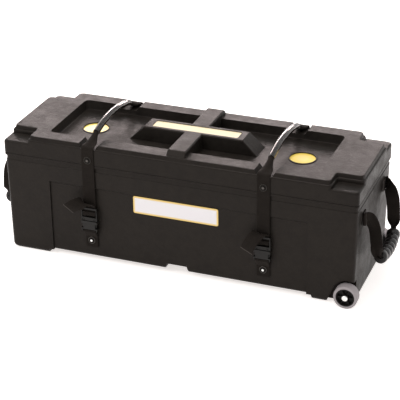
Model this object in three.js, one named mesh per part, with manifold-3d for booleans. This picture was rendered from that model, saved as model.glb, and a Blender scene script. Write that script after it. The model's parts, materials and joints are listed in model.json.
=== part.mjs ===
// Drum hardware case: a moulded base on skids and two wheels, and a lift-off lid
// that two webbing straps hold down with side-release buckles. Each strap runs
// through a clear tube over the lid as a carry grip, and each end has a webbing
// handle with a moulded grip.
// Millimetres. +Z is up, +X points to the wheels, -Y is the front, the floor is z = 0.
import * as THREE from 'three';
import { mergeVertices } from 'three/addons/utils/BufferGeometryUtils.js';
import Module from 'manifold-3d';

const wasm = await Module();
wasm.setup();

// Driving dimensions
const caseLength = 990; // over the lid
const caseDepth = 341; // over the lid
const partingHeight = 283; // floor to the joint between base and lid
const lidHeight = 64; // joint to the top of the plateau
const wall = 5;
const cornerRadius = 11; // upright corners of base and lid
const fit = 0.3; // gap between pieces that touch
const overrun = 20; // how far a cut runs past the stock

const halfLength = caseLength / 2;
const halfDepth = caseDepth / 2;
const lidTop = partingHeight + lidHeight;

// Base
const lidOverhang = 2; // lid skirt beyond the base rim
const bodyDraft = 4; // how far the foot of each wall stands in from its rim
const bottomRadius = 12;
const rimBand = 12; // height of the band below the joint
const rimBandDepth = 1.5;
const tongueHeight = 9; // inner lip that locates the lid
const tongueThickness = 2.6;
const undersideHeight = 13; // floor to the belly between the skids
const skidLength = 119; // lid end to the inner end of a skid
const skidSlope = 8;
const panelMargin = 132; // lid end to the edge of the sunk front panel
const panelDepth = 4;
const panelDrop = 63; // joint to the panel's upper edge
const panelEase = 4; // slope of the panel's upper edge
const bellyRadius = 8;
const grooveMouth = 68; // stacking groove across the belly
const grooveRoof = 56;
const grooveDepth = 16;

const rimHalfLength = halfLength - lidOverhang;
const rimHalfDepth = halfDepth - lidOverhang;
const draftTilt = Math.atan(bodyDraft / partingHeight);
const panelTopHeight = partingHeight - panelDrop;

// Wheels
const wheelRadius = 32;
const wheelWidth = 30;
const wheelProud = 13.5; // outer face of the wheel beyond the lid's front
const axleSetback = 23; // axle from the lid's end
const pocketClearance = 8; // round the tread
const pocketSide = 14; // between the wheel's inner face and the pocket's wall
const pocketFlare = 24; // how far the arch opens towards the floor
const bossRadius = 13;
const tyreThickness = 7;
const tyreShoulder = 3;
const hubDish = 4; // hub face behind the tyre's face
const hubRim = 3;
const hubPlate = 9;
const hubBossRadius = 9;
const hubRibs = 6;
const hubRibThickness = 2.4;
const axleRadius = 4;
const axleHeadRadius = 8;
const axleHeadHeight = 4;
const axleNutRadius = 6.5;
const axleNutHeight = 6;

const axleX = halfLength - axleSetback;
const wheelOuter = halfDepth + wheelProud;
const wheelInner = wheelOuter - wheelWidth;
const pocketWall = wheelInner - pocketSide;
const pocketRadius = wheelRadius + pocketClearance;

// Lid
const lidLip = 5; // plain edge below the bead line
const lidBeadLine = 1.5;
const lidEdgeEase = 0.8;
const lidSkirtRadius = 6;
const notchLength = 71; // corner steps, along the case
const notchDepth = 55; // corner steps, across the case
const notchFloor = 20; // below the plateau
const notchTuck = 12; // how far the plateau's block roots into the skirt
const notchRadius = 9;
const ledgeDrop = 10; // plateau to the ledge that runs round it
const ledgeWidth = 4.5;
const plateauEase = 1;
const plateauRadius = 3.5;
const trayHalfLength = 379; // sunk tray in the top
const trayHalfDepth = 120;
const trayDepth = 26;
const trayRadius = 14;
const trayDraft = 4;
const trayFillet = 4;
const slotFloorDrop = 12; // strap slots through the front and rear rails
const slotFloorWidth = 40.6;
const slotMouthWidth = 56;
const ribWidth = 51; // stacking rib across the lid
const ribRise = 14; // above the plateau
const ribSetIn = 20.5; // end of the rib's top from the skirt
const ribFootSetIn = 3;
const ribEase = 3;
const plinthHalfLength = 142; // raised bar along the middle, at its top
const plinthSlope = 42;
const plinthHalfDepth = 31;
const plinthFlare = 4;
const windowHalfLength = 122;
const windowHalfDepth = 20;
const windowDepth = 3;

const trayFloor = lidTop - trayDepth;
const ribTop = lidTop + ribRise;

// Labels
const labelThickness = 1.2;
const badgeRadius = 35;
const badgeX = 296;
const badgeWellDepth = 3;
const badgeRingWidth = 4;
const badgeRingHeight = 1.6;
const plateHalfLength = 120;
const plateHeight = 50;
const plateDrop = 2; // panel's upper edge to the plate's
const plateRadius = 5;

const plateTop = panelTopHeight - plateDrop;
const plateBottom = plateTop - plateHeight;

// Lid straps
const strapX = 245;
const webWidth = 35;
const webThickness = 2;
const strapShoulderRadius = 9;
const gripHalfSpan = 110; // tube ends from the middle of the case
const gripEndRise = 14; // strap at the tube's end above the plateau
const gripCrownRise = 30; // strap at mid span above the plateau
const tailRise = 1; // free end's first bend above the buckle
const rolledWidth = 13; // webbing folded inside the tube
const rolledThickness = 6;
const sleeveRadius = 9.5;
const sleeveWall = 2;
const tailLength = 60;

// Buckles, measured out from the base rim and up from the floor
const buckleStandOff = 5.5; // mid-plane of the buckle beyond the base rim
const buckleTop = 166;
const buckleBottom = 95;
const buckleWidth = 46;
const frameHeight = 38; // male half that shows above the socket
const frameHalfThickness = 3.5;
const frameRail = 3.1;
const frameTopNarrowing = 1.5;
const topBarHeight = 5;
const topBarThickness = 3;
const upperSlotHeight = 7;
const midBarHeight = 9;
const midBarThickness = 3;
const lowerSlotHeight = 7;
const webBend = 1.4; // bend of the webbing round a bar
const socketHeight = 32;
const socketHalfThickness = 5.5;
const socketWall = 2;
const socketFloor = 9;
const windowHeight = 13; // side openings for the squeeze pads
const windowRise = 11;
const windowReach = 6;
const anchorBarHeight = 4;
const anchorSlotHeight = 3.4;
const prongWidth = 5.5;
const prongHalfThickness = 2.6;
const prongReach = 23;
const prongPivotRise = 3;
const prongGap = 0.5;
const padWidth = 8;
const padHeight = 11;
const guideWidth = 8;
const squeezeTravel = 6; // degrees

const buckleMid = rimHalfDepth + buckleStandOff;

// Rivets
const rivetRadius = 1.6;
const rivetHeadRadius = 5;
const rivetHeadHeight = 2.6;
const rivetWasherRadius = 10;
const rivetWasherThickness = 1.2;
const rivetTailRadius = 6;
const rivetTailHeight = 2;
const lidRivetRise = 22; // above the joint
const anchorRivetHeight = 64;
const anchorEndHeight = 44;
const anchorBendHeight = 78;

const lidRivetHeight = partingHeight + lidRivetRise;

// End handles
const handleRivetDrop = 52; // joint to the rivets
const handleRivetSetIn = 67.5; // lid's front to the nearer rivet
const handleFoldReach = 14; // rivet to the fold of the webbing
const handleTabMargin = 12; // rivet to the webbing's end
const handleTabReturn = 2; // tab's straight end past the fold
const handleWebWidth = 34;
const handleWebThickness = 2.6;
const handleGripSetIn = 30; // rivet to the grip's end, along the wall
const handleGripOut = 40; // grip end from the end wall
const handleHang = 124; // rivet to the grip's end, downwards
const handleBowOut = 6;
const handleBowDrop = 8;
const handleGripRadius = 17;
const handleFlareRadius = 20;
const handleScallop = 1.6;
const handleRolledWidth = 19;
const handleRolledThickness = 5.2;
const handleFoldShare = 0.25; // last part of the leg, where the webbing is folded narrower

const handleRivetHeight = partingHeight - handleRivetDrop;
const handleRivetY = halfDepth - handleRivetSetIn;
const handleFoldY = handleRivetY + handleFoldReach;
const handleGripHalf = handleRivetY - handleGripSetIn;
const handleGripHeight = handleRivetHeight - handleHang;

// Materials
const finish = (color, roughness, metalness = 0) =>
  new THREE.MeshStandardMaterial({ color, roughness, metalness });
const shellPlastic = finish(0x262322, 0.6);
const bucklePlastic = finish(0x1a1a1a, 0.45);
const webbing = finish(0x1c1a19, 0.9);
const gripRubber = finish(0x171616, 0.7);
const tyreRubber = finish(0xa39798, 0.75);
const clearTube = finish(0xc9c9cc, 0.15);
const brightMetal = finish(0xc8c8c8, 0.3, 1);
const darkMetal = finish(0x3a3a3a, 0.45, 1);
const plateFace = finish(0xe9e7ee, 0.5);
const labelFace = finish(0xe8dc9c, 0.5);
const badgeFace = finish(0xf0cf2c, 0.5);

// Counts of facets
const cornerSteps = 3;
const arcSteps = 3;
const bendSteps = 2;
const roundSides = 24;
const smallSides = 12;
const rivetSides = 10;
const tailSteps = 8;
const gripSteps = 10;
const rightAngle = Math.PI / 2;

// Geometry helpers

function signedVolume(points, triangles) {
  const corner = [new THREE.Vector3(), new THREE.Vector3(), new THREE.Vector3()];
  let sum = 0;
  for (let t = 0; t < triangles.length; t += 3) {
    corner.forEach((v, k) => v.fromArray(points, triangles[t + k] * 3));
    sum += corner[0].dot(corner[1].clone().cross(corner[2]));
  }
  return sum / 6;
}

// A closed geometry as a solid that can be joined and cut.
function solid(geometry) {
  const bare = geometry.clone();
  bare.deleteAttribute('normal');
  bare.deleteAttribute('uv');
  const merged = mergeVertices(bare);
  const index = merged.index.array;
  const triangles = [];
  for (let t = 0; t < index.length; t += 3) {
    const [a, b, c] = [index[t], index[t + 1], index[t + 2]];
    if (a !== b && b !== c && c !== a) triangles.push(a, b, c);
  }
  const points = merged.attributes.position.array;
  if (signedVolume(points, triangles) < 0) triangles.reverse();
  const mesh = new wasm.Mesh({
    numProp: 3,
    vertProperties: Float32Array.from(points),
    triVerts: Uint32Array.from(triangles),
  });
  return new wasm.Manifold(mesh);
}

function geometryOf(shape) {
  const mesh = shape.getMesh();
  const geometry = new THREE.BufferGeometry();
  geometry.setAttribute('position', new THREE.BufferAttribute(mesh.vertProperties, 3));
  geometry.setIndex(new THREE.BufferAttribute(mesh.triVerts, 1));
  geometry.computeVertexNormals();
  return geometry;
}

const join = (...shapes) => shapes.reduce((whole, shape) => whole.add(shape));
const cut = (stock, ...tools) => tools.reduce((rest, tool) => rest.subtract(tool), stock);

function piece(name, shape, material, matrix = new THREE.Matrix4()) {
  const mesh = new THREE.Mesh(geometryOf(shape), material);
  mesh.name = name;
  mesh.applyMatrix4(matrix);
  return mesh;
}

// A closed outline through corners [x, y, radius], with an arc at each corner.
function outline(corners, steps = cornerSteps) {
  const points = [];
  corners.forEach(([x, y, radius], i) => {
    const here = new THREE.Vector2(x, y);
    const [px, py] = corners[(i + corners.length - 1) % corners.length];
    const [nx, ny] = corners[(i + 1) % corners.length];
    points.push(...cornerArc(here, new THREE.Vector2(px, py), new THREE.Vector2(nx, ny), radius, steps));
  });
  return points;
}

function cornerArc(here, before, after, radius, steps) {
  if (!radius) return [here];
  const back = before.clone().sub(here).normalize();
  const ahead = after.clone().sub(here).normalize();
  const half = Math.acos(THREE.MathUtils.clamp(back.dot(ahead), -1, 1)) / 2;
  const middle = back.clone().add(ahead).normalize().multiplyScalar(radius / Math.sin(half)).add(here);
  const start = here.clone().addScaledVector(back, radius / Math.tan(half)).sub(middle);
  const end = here.clone().addScaledVector(ahead, radius / Math.tan(half)).sub(middle);
  let sweep = end.angle() - start.angle();
  if (sweep > Math.PI) sweep -= 2 * Math.PI;
  if (sweep < -Math.PI) sweep += 2 * Math.PI;
  return Array.from({ length: steps + 1 }, (_, k) =>
    start.clone().rotateAround(new THREE.Vector2(), (sweep * k) / steps).add(middle));
}

// An open line through corners [x, y, radius], with an arc at each inner corner.
function bentLine(corners, steps = arcSteps) {
  return corners.flatMap(([x, y, radius], i) => {
    const here = new THREE.Vector2(x, y);
    if (i === 0 || i === corners.length - 1) return [here];
    const before = new THREE.Vector2(corners[i - 1][0], corners[i - 1][1]);
    const after = new THREE.Vector2(corners[i + 1][0], corners[i + 1][1]);
    return cornerArc(here, before, after, radius, steps);
  });
}

function rectangle(halfX, halfY, radius, steps = cornerSteps) {
  return outline([
    [halfX, -halfY, radius],
    [halfX, halfY, radius],
    [-halfX, halfY, radius],
    [-halfX, -halfY, radius],
  ], steps);
}

const alongX = new THREE.Matrix4().makeBasis(
  new THREE.Vector3(0, 1, 0), new THREE.Vector3(0, 0, 1), new THREE.Vector3(1, 0, 0));
const alongY = new THREE.Matrix4().makeRotationX(rightAngle);

function prism(points, depth) {
  const shape = new THREE.Shape(points);
  return new THREE.ExtrudeGeometry(shape, { depth, bevelEnabled: false, steps: 1 });
}

// Outlines drawn in (y, z), (x, z) and (x, y), extruded between two planes.
function prismX(points, from, to) {
  return solid(prism(points, to - from).translate(0, 0, from).applyMatrix4(alongX));
}

function prismY(points, from, to) {
  return solid(prism(points, to - from).translate(0, 0, -to).applyMatrix4(alongY));
}

function prismZ(points, from, to) {
  return solid(prism(points, to - from).translate(0, 0, from));
}

function block(low, high) {
  const size = high.map((value, i) => value - low[i]);
  const middle = high.map((value, i) => (value + low[i]) / 2);
  return solid(new THREE.BoxGeometry(...size).translate(...middle));
}

// A skin through rings of equal count, closed by a flat cap at each end.
function loft(rings) {
  const count = rings[0].length;
  const points = rings.flat();
  const triangles = [];
  for (let r = 0; r + 1 < rings.length; r += 1) {
    for (let k = 0; k < count; k += 1) {
      const a = r * count + k;
      const b = r * count + ((k + 1) % count);
      triangles.push(a, b, b + count, a, b + count, a + count);
    }
  }
  triangles.push(...cap(rings[0], 0, true));
  triangles.push(...cap(rings.at(-1), (rings.length - 1) * count, false));
  const geometry = new THREE.BufferGeometry().setFromPoints(points);
  geometry.setIndex(triangles);
  return solid(geometry);
}

function cap(ring, offset, reversed) {
  const normal = new THREE.Vector3();
  ring.forEach((p, i) => normal.add(p.clone().cross(ring[(i + 1) % ring.length])));
  normal.normalize();
  const u = ring[1].clone().sub(ring[0]).normalize();
  const v = normal.clone().cross(u);
  const flat = ring.map((p) => new THREE.Vector2(p.dot(u), p.dot(v)));
  return THREE.ShapeUtils.triangulateShape(flat, []).flatMap(([a, b, c]) => {
    const turn = flat[b].clone().sub(flat[a]).cross(flat[c].clone().sub(flat[a]));
    const outward = turn > 0 !== reversed;
    return outward ? [a + offset, b + offset, c + offset] : [a + offset, c + offset, b + offset];
  });
}

const raise = (points, z) => points.map((p) => new THREE.Vector3(p.x, p.y, z));

// A turned piece about the Y axis from [radius, y] points that start and end on it.
function turned(profile, sides = roundSides) {
  return solid(new THREE.LatheGeometry(profile.map(([r, y]) => new THREE.Vector2(r, y)), sides));
}

const rodY = (radius, from, to, sides = smallSides) =>
  turned([[0, from], [radius, from], [radius, to], [0, to]], sides);

function moved(shape, matrix) {
  return solid(geometryOf(shape).applyMatrix4(matrix));
}

const shift = (x, y, z) => new THREE.Matrix4().makeTranslation(x, y, z);
const turnZ = (angle) => new THREE.Matrix4().makeRotationZ(angle);
const turnX = (angle) => new THREE.Matrix4().makeRotationX(angle);

// A strap through stations { at, across, width, thickness }.
const sectionShares = [[-0.5, -0.5], [0.5, -0.5], [0.5, 0.5], [-0.5, 0.5]];

function band(stations) {
  const last = stations.length - 1;
  return loft(stations.map((station, i) => {
    const along = stations[Math.min(i + 1, last)].at.clone().sub(stations[Math.max(i - 1, 0)].at).normalize();
    const across = station.across.clone().addScaledVector(along, -station.across.dot(along)).normalize();
    const through = along.clone().cross(across);
    return sectionShares.map(([u, v]) => station.at.clone()
      .addScaledVector(across, u * station.width)
      .addScaledVector(through, v * station.thickness));
  }));
}

// Places on the case. The rear is the front turned half round.
const faces = [
  { name: 'front', turn: turnZ(0), flip: 1 },
  { name: 'rear', turn: turnZ(Math.PI), flip: -1 },
];
const ends = [
  { name: 'left', sign: -1 },
  { name: 'right', sign: 1 },
];

const bodyInset = (z) => bodyDraft * (1 - z / partingHeight);
const faceOut = (z) => rimHalfDepth - bodyInset(z);
const panelOut = (z) => faceOut(z) - panelDepth;
const endOut = (z) => rimHalfLength - bodyInset(z);

// Each strap place: its x on the front, its face, and its name.
const strapPlaces = faces.flatMap((face) => ends.map((end) => ({
  name: `${face.name}_${end.name}`,
  end,
  face,
  x: end.sign * face.flip * strapX,
})));

// Rivet with its washer about the Y axis, washer's back at y = 0 and head towards -Y.
function rivet(grip) {
  const profile = [
    [0, grip + rivetTailHeight],
    [rivetTailRadius, grip + rivetTailHeight],
    [rivetTailRadius, grip + fit],
    [rivetRadius, grip + fit],
    [rivetRadius, 0],
    [rivetWasherRadius, 0],
    [rivetHeadRadius, -rivetWasherThickness],
  ];
  for (let k = 1; k <= bendSteps; k += 1) {
    const angle = (rightAngle * k) / bendSteps;
    const radius = k === bendSteps ? 0 : rivetHeadRadius * Math.cos(angle);
    profile.push([radius, -rivetWasherThickness - rivetHeadHeight * Math.sin(angle)]);
  }
  return turned(profile, rivetSides);
}

const rivetHole = () => rodY(rivetRadius + fit, -overrun, overrun, rivetSides);

// Where the rivets go: each matrix takes y = 0 to the outer face of what it clamps.
const lidRivetAt = (place) => place.face.turn.clone()
  .multiply(shift(place.x, -halfDepth, lidRivetHeight));
const anchorRivetAt = (place) => place.face.turn.clone()
  .multiply(shift(place.x, -panelOut(anchorRivetHeight), anchorRivetHeight))
  .multiply(turnX(draftTilt));
const handleRivetAt = (end, side) => turnZ(end.sign * rightAngle)
  .multiply(shift(side * handleRivetY, -endOut(handleRivetHeight), handleRivetHeight))
  .multiply(turnX(draftTilt));

// Base

// Rings of the base's walls from the floor up. The inner form is the outer one drawn
// in by the wall, and it runs out through the top.
function baseBlock(inset) {
  const rings = [];
  const radius = bottomRadius - inset;
  const steps = inset ? 1 : cornerSteps;
  const ring = (z, drawnIn) => {
    const by = inset + drawnIn + bodyInset(z);
    rings.push(raise(rectangle(rimHalfLength - by, rimHalfDepth - by, cornerRadius - inset, steps), z));
  };
  for (let k = 0; k <= arcSteps; k += 1) {
    const angle = (rightAngle * k) / arcSteps;
    ring(inset + radius * (1 - Math.cos(angle)), radius * (1 - Math.sin(angle)));
  }
  if (inset) {
    ring(partingHeight + overrun, 0);
    return loft(rings);
  }
  ring(partingHeight - rimBand - rimBandDepth, 0);
  ring(partingHeight - rimBand, rimBandDepth);
  ring(partingHeight, rimBandDepth);
  return loft(rings);
}

// The sunk front panel with the rolled lower edge of the belly, cut from one face.
function panelCut(inset) {
  const out = rimHalfDepth + overrun;
  const belly = undersideHeight + inset;
  const top = panelTopHeight + inset;
  const bend = bellyRadius - inset;
  const points = bentLine([
    [-out, -overrun, 0],
    [inset - rimHalfDepth / 2, -overrun, 0],
    [inset - rimHalfDepth / 2, belly, 0],
    [inset - panelOut(belly), belly, bend],
    [inset - panelOut(top), top, 0],
    [inset - faceOut(top) - fit, top + panelEase, 0],
    [-out, top + panelEase, 0],
  ]);
  const half = halfLength - panelMargin + inset;
  return prismX(points, -half, half);
}

function bellyCut(inset) {
  const half = halfLength - skidLength + inset;
  const top = undersideHeight + inset;
  const points = outline([
    [-half - skidSlope, -overrun, 0],
    [half + skidSlope, -overrun, 0],
    [half, top, 0],
    [-half, top, 0],
  ]);
  return prismY(points, -caseDepth, caseDepth);
}

function grooveCut(inset) {
  const points = outline([
    [-grooveMouth / 2 - inset, 0, 0],
    [grooveMouth / 2 + inset, 0, 0],
    [grooveMouth / 2 + inset, undersideHeight, 0],
    [grooveRoof / 2 + inset, undersideHeight + grooveDepth + inset, 0],
    [-grooveRoof / 2 - inset, undersideHeight + grooveDepth + inset, 0],
    [-grooveMouth / 2 - inset, undersideHeight, 0],
  ]);
  return prismY(points, -caseDepth, caseDepth);
}

// Wheel arch in the front right corner: a round over the tread that flares to the floor.
function pocketCut(inset) {
  const radius = pocketRadius + inset;
  const arch = [new THREE.Vector2(axleX - radius - pocketFlare, -overrun)];
  const firstShare = 0.84;
  for (let k = 0; k <= roundSides / 2; k += 1) {
    const angle = Math.PI * firstShare * (1 - (2 * k) / roundSides);
    arch.push(new THREE.Vector2(axleX + radius * Math.cos(angle), wheelRadius + radius * Math.sin(angle)));
  }
  arch.push(new THREE.Vector2(axleX + radius, -overrun));
  return prismY(arch, -caseDepth, inset - pocketWall);
}

function baseForm(inset) {
  const front = cut(baseBlock(inset), bellyCut(inset), grooveCut(inset));
  const tools = faces.flatMap((face) => [
    moved(panelCut(inset), face.turn),
    face.flip > 0 ? pocketCut(inset) : mirrorY(pocketCut(inset)),
  ]);
  return cut(front, ...tools);
}

function mirrorY(shape) {
  return moved(shape, new THREE.Matrix4().makeScale(1, -1, 1));
}

const axleAt = (face) => shift(axleX, 0, wheelRadius)
  .multiply(new THREE.Matrix4().makeScale(1, face.flip, 1));

function baseShell() {
  let shell = cut(baseForm(0), baseForm(wall));
  const seat = halfLength - wall - fit;
  const seatDepth = halfDepth - wall - fit;
  const foot = partingHeight - wall - tongueHeight;
  const lipRing = (drawnIn, from, to) => {
    const shape = rectangle(seat - drawnIn, seatDepth - drawnIn, cornerRadius - wall, 1);
    return prismZ(shape, from, to);
  };
  const tongue = cut(
    lipRing(0, foot, partingHeight + tongueHeight),
    lipRing(tongueThickness, foot - overrun, partingHeight + tongueHeight + overrun));
  shell = join(shell, tongue);
  for (const face of faces) {
    const boss = rodY(bossRadius, fit - wheelInner, wall / 2 - pocketWall, roundSides);
    const bore = rodY(axleRadius + fit, -wheelOuter - overrun, -pocketWall + wall + overrun);
    shell = cut(join(shell, moved(boss, axleAt(face))), moved(bore, axleAt(face)));
  }
  for (const place of strapPlaces) shell = cut(shell, moved(rivetHole(), anchorRivetAt(place)));
  for (const end of ends) {
    for (const side of [-1, 1]) shell = cut(shell, moved(rivetHole(), handleRivetAt(end, side)));
  }
  return shell;
}

// Lid

function lidSkirt(inset) {
  const rings = [];
  const ring = (z, drawnIn) => {
    const by = inset + drawnIn;
    rings.push(raise(rectangle(halfLength - by, halfDepth - by, cornerRadius - inset, steps), z));
  };
  const top = lidTop - notchFloor - inset;
  const steps = inset ? 1 : cornerSteps;
  const foot = partingHeight + fit;
  if (inset) {
    ring(foot - overrun, 0);
    ring(top, 0);
    return loft(rings);
  }
  ring(foot, lidEdgeEase);
  ring(foot + lidEdgeEase, 0);
  ring(foot + lidLip, 0);
  ring(foot + lidLip + lidBeadLine, lidBeadLine);
  ring(foot + lidLip + 2 * lidBeadLine, 0);
  for (let k = 0; k <= arcSteps; k += 1) {
    const angle = (rightAngle * k) / arcSteps;
    ring(top - lidSkirtRadius * (1 - Math.sin(angle)), lidSkirtRadius * (1 - Math.cos(angle)));
  }
  return loft(rings);
}

// The plateau: a block with a step at each corner and a ledge all round it.
function plateauOutline(drawnIn, inset, steps) {
  const x = halfLength - drawnIn;
  const y = halfDepth - drawnIn;
  const nx = halfLength - notchLength - drawnIn;
  const ny = halfDepth - notchDepth - drawnIn;
  const outer = cornerRadius - inset;
  const corner = [[x, ny, outer], [nx, ny, notchRadius], [nx, y, outer]];
  const quarters = [[1, 1], [-1, 1], [-1, -1], [1, -1]];
  return outline(quarters.flatMap(([sx, sy]) => {
    const turnedCorner = corner.map(([px, py, r]) => [px * sx, py * sy, r]);
    return sx * sy > 0 ? turnedCorner : turnedCorner.reverse();
  }), steps);
}

function plateau(inset) {
  const ledge = lidTop - ledgeDrop;
  const rows = [
    [lidTop - notchFloor - notchTuck, 0],
    [ledge - ledgeWidth, 0],
    [ledge - ledgeWidth / 3, ledgeWidth / 3],
    [ledge, ledgeWidth],
    [lidTop - plateauRadius, ledgeWidth + plateauEase],
    [lidTop - plateauRadius / 3, ledgeWidth + plateauEase + plateauRadius / 3],
    [lidTop, ledgeWidth + plateauEase + plateauRadius],
  ];
  const kept = inset ? [rows[0], rows[3], rows.at(-1)] : rows;
  const steps = inset ? 1 : bendSteps;
  return loft(kept.map(([z, drawnIn]) => raise(plateauOutline(drawnIn + inset, inset, steps), z - inset)));
}

function trayCut(inset) {
  const steps = inset ? bendSteps : cornerSteps;
  const ring = (z, grown) => raise(
    rectangle(trayHalfLength + grown, trayHalfDepth + grown, trayRadius + inset, steps), z);
  const floor = trayFloor - inset;
  return loft([
    ring(floor, inset - trayDraft - trayFillet),
    ring(floor + trayFillet / 3, inset - trayDraft - trayFillet / 3),
    ring(floor + trayFillet, inset - trayDraft),
    ring(lidTop, inset),
    ring(lidTop + overrun, inset),
  ]);
}

function rib(inset) {
  const ring = (z, half, setIn) => raise(
    rectangle(half - inset, halfDepth - setIn - inset, ribEase, arcSteps), z - inset);
  return loft([
    ring(trayFloor - wall / 2, ribWidth / 2 + ribEase, ribFootSetIn),
    ring(lidTop - ledgeDrop, ribWidth / 2 + ribEase / 2, ribFootSetIn),
    ring(ribTop - ribEase, ribWidth / 2, ribSetIn - ribEase / 2),
    ring(ribTop, ribWidth / 2 - ribEase, ribSetIn + ribEase),
  ]);
}

function plinth(inset) {
  const ring = (z, halfX, halfY) => raise(
    rectangle(halfX - inset, halfY - inset, ribEase, arcSteps), z - inset);
  return loft([
    ring(trayFloor - wall / 2, plinthHalfLength + plinthSlope, plinthHalfDepth + plinthFlare),
    ring(ribTop - ribEase, plinthHalfLength, plinthHalfDepth),
    ring(ribTop, plinthHalfLength - ribEase, plinthHalfDepth - ribEase),
  ]);
}

function slotCut(inset) {
  const floor = lidTop - slotFloorDrop - inset;
  const points = outline([
    [-slotFloorWidth / 2 - inset, floor, 0],
    [slotFloorWidth / 2 + inset, floor, 0],
    [slotMouthWidth / 2 + inset, lidTop, 0],
    [slotMouthWidth / 2 + inset, lidTop + overrun, 0],
    [-slotMouthWidth / 2 - inset, lidTop + overrun, 0],
    [-slotMouthWidth / 2 - inset, lidTop, 0],
  ]);
  return prismY(points, -halfDepth - overrun, inset - trayHalfDepth + trayFillet);
}

function lidForm(inset) {
  const shell = cut(join(lidSkirt(inset), plateau(inset)), trayCut(inset));
  const slots = strapPlaces.map((place) =>
    moved(slotCut(inset), place.face.turn.clone().multiply(shift(place.x, 0, 0))));
  return join(cut(shell, ...slots), rib(inset), plinth(inset));
}

const badgeAt = (end) => shift(end.sign * badgeX, 0, trayFloor).multiply(turnX(rightAngle));

// Raised ring round a badge, turned about the Y axis.
function badgeRing() {
  const inner = badgeRadius + fit;
  const outer = inner + badgeRingWidth;
  return cut(
    turned([[0, wall / 2 - wall], [outer, wall / 2 - wall], [outer, 0],
      [outer - badgeRingWidth / 3, badgeRingHeight], [0, badgeRingHeight]]),
    rodY(inner, -wall, badgeRingHeight + overrun, roundSides));
}

function lidShell() {
  let shell = cut(lidForm(0), lidForm(wall));
  for (const end of ends) {
    const well = rodY(badgeRadius + fit, -badgeWellDepth, badgeRingHeight + overrun, roundSides);
    shell = cut(join(shell, moved(badgeRing(), badgeAt(end))), moved(well, badgeAt(end)));
  }
  const window = rectangle(windowHalfLength, windowHalfDepth, plateRadius, arcSteps);
  shell = cut(shell, prismZ(window, ribTop - windowDepth, ribTop + overrun));
  for (const place of strapPlaces) shell = cut(shell, moved(rivetHole(), lidRivetAt(place)));
  return shell;
}

// Labels

function badge() {
  const seat = fit - badgeWellDepth;
  return rodY(badgeRadius, seat, seat + labelThickness, roundSides);
}

function plinthLabel() {
  const floor = ribTop - windowDepth + fit;
  const shape = rectangle(windowHalfLength - fit, windowHalfDepth - fit, plateRadius, arcSteps);
  return prismZ(shape, floor, floor + labelThickness);
}

// The plate lies on the drafted panel, drawn in (x, z) about its own middle.
function namePlate() {
  const shape = rectangle(plateHalfLength, (plateTop - plateBottom) / 2, plateRadius, arcSteps);
  return prismY(shape, -fit - labelThickness, -fit);
}

function namePlateAt() {
  const middle = (plateTop + plateBottom) / 2;
  return shift(0, -panelOut(middle), middle).multiply(turnX(draftTilt));
}

// Lid straps

// Layers of webbing in the buckle, measured out from its mid-plane.
const topBarBack = frameHalfThickness - topBarThickness;
const tailOut = topBarBack - fit - webThickness / 2;
const loadOut = tailOut - fit - webThickness;
const midBarBack = loadOut + webThickness / 2 + fit;
const midBarFront = midBarBack + midBarThickness;
const wrapOut = midBarFront + fit + webThickness / 2;
const upperSlotTop = buckleTop - topBarHeight;
const midBarTop = upperSlotTop - upperSlotHeight;
const midBarBottom = midBarTop - midBarHeight;
const wrapBelow = midBarBottom - fit - webThickness / 2;
const wrapAbove = midBarTop + fit + webThickness / 2;

// Free ends of the webbing: side, out and up from the buckle, in tail lengths, and
// the way the band faces at its end.
const raisedTailShares = [[0, 0, 0], [0, 0.1, 0.34], [-0.42, 0.5, 0.38], [-0.84, 0.42, -0.02]];
const raisedTwistShares = [0.7, 0.25, -0.68];
const hangingTailShares = [[0, 0, 0], [0, 0.1, 0.32], [-0.28, 0.62, 0.24], [-0.6, 0.42, -0.62]];
const hangingTwistShares = [0.85, -0.1, -0.5];

function tailStations(curveShares, twistShares, x, flip) {
  const start = new THREE.Vector3(x, flip * (-buckleMid - tailOut), buckleTop + tailRise);
  const [a, b, c, d] = curveShares.map(([side, out, up]) => new THREE.Vector3(
    side * tailLength * flip, -out * tailLength * flip, up * tailLength).add(start));
  const curve = new THREE.CubicBezierCurve3(a, b, c, d);
  const straight = new THREE.Vector3(flip, 0, 0);
  const [tx, ty, tz] = twistShares;
  const twisted = new THREE.Vector3(tx * flip, ty * flip, tz);
  return Array.from({ length: tailSteps + 1 }, (_, k) => ({
    at: curve.getPoint(k / tailSteps),
    across: straight.clone().lerp(twisted, k / tailSteps),
    width: webWidth,
    thickness: webThickness,
  }));
}

// The strap's line in one buckle and up to the tube's end, as [out, z].
function strapLine() {
  const skirtOut = halfDepth + fit + webThickness / 2;
  const shoulder = lidTop - ledgeDrop + fit + webThickness;
  return bentLine([
    [buckleMid + tailOut, buckleTop + tailRise, 0],
    [buckleMid + tailOut, wrapAbove, webBend],
    [buckleMid + wrapOut, wrapAbove, webBend],
    [buckleMid + wrapOut, wrapBelow, webBend],
    [buckleMid + loadOut, wrapBelow, webBend],
    [buckleMid + loadOut, buckleTop, webBend],
    [skirtOut, partingHeight, 0],
    [skirtOut, shoulder, strapShoulderRadius],
    [gripHalfSpan, lidTop + gripEndRise, 0],
  ], bendSteps);
}

// The arc of the tube across the case, as [out, z] for a share from the front end to
// the rear end.
function gripArc(share) {
  const rise = gripCrownRise - gripEndRise;
  const radius = (gripHalfSpan ** 2 + rise ** 2) / (2 * rise);
  const half = Math.asin(gripHalfSpan / radius);
  const angle = half * (1 - 2 * share);
  return [radius * Math.sin(angle), lidTop + gripCrownRise - radius * (1 - Math.cos(angle))];
}

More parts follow.
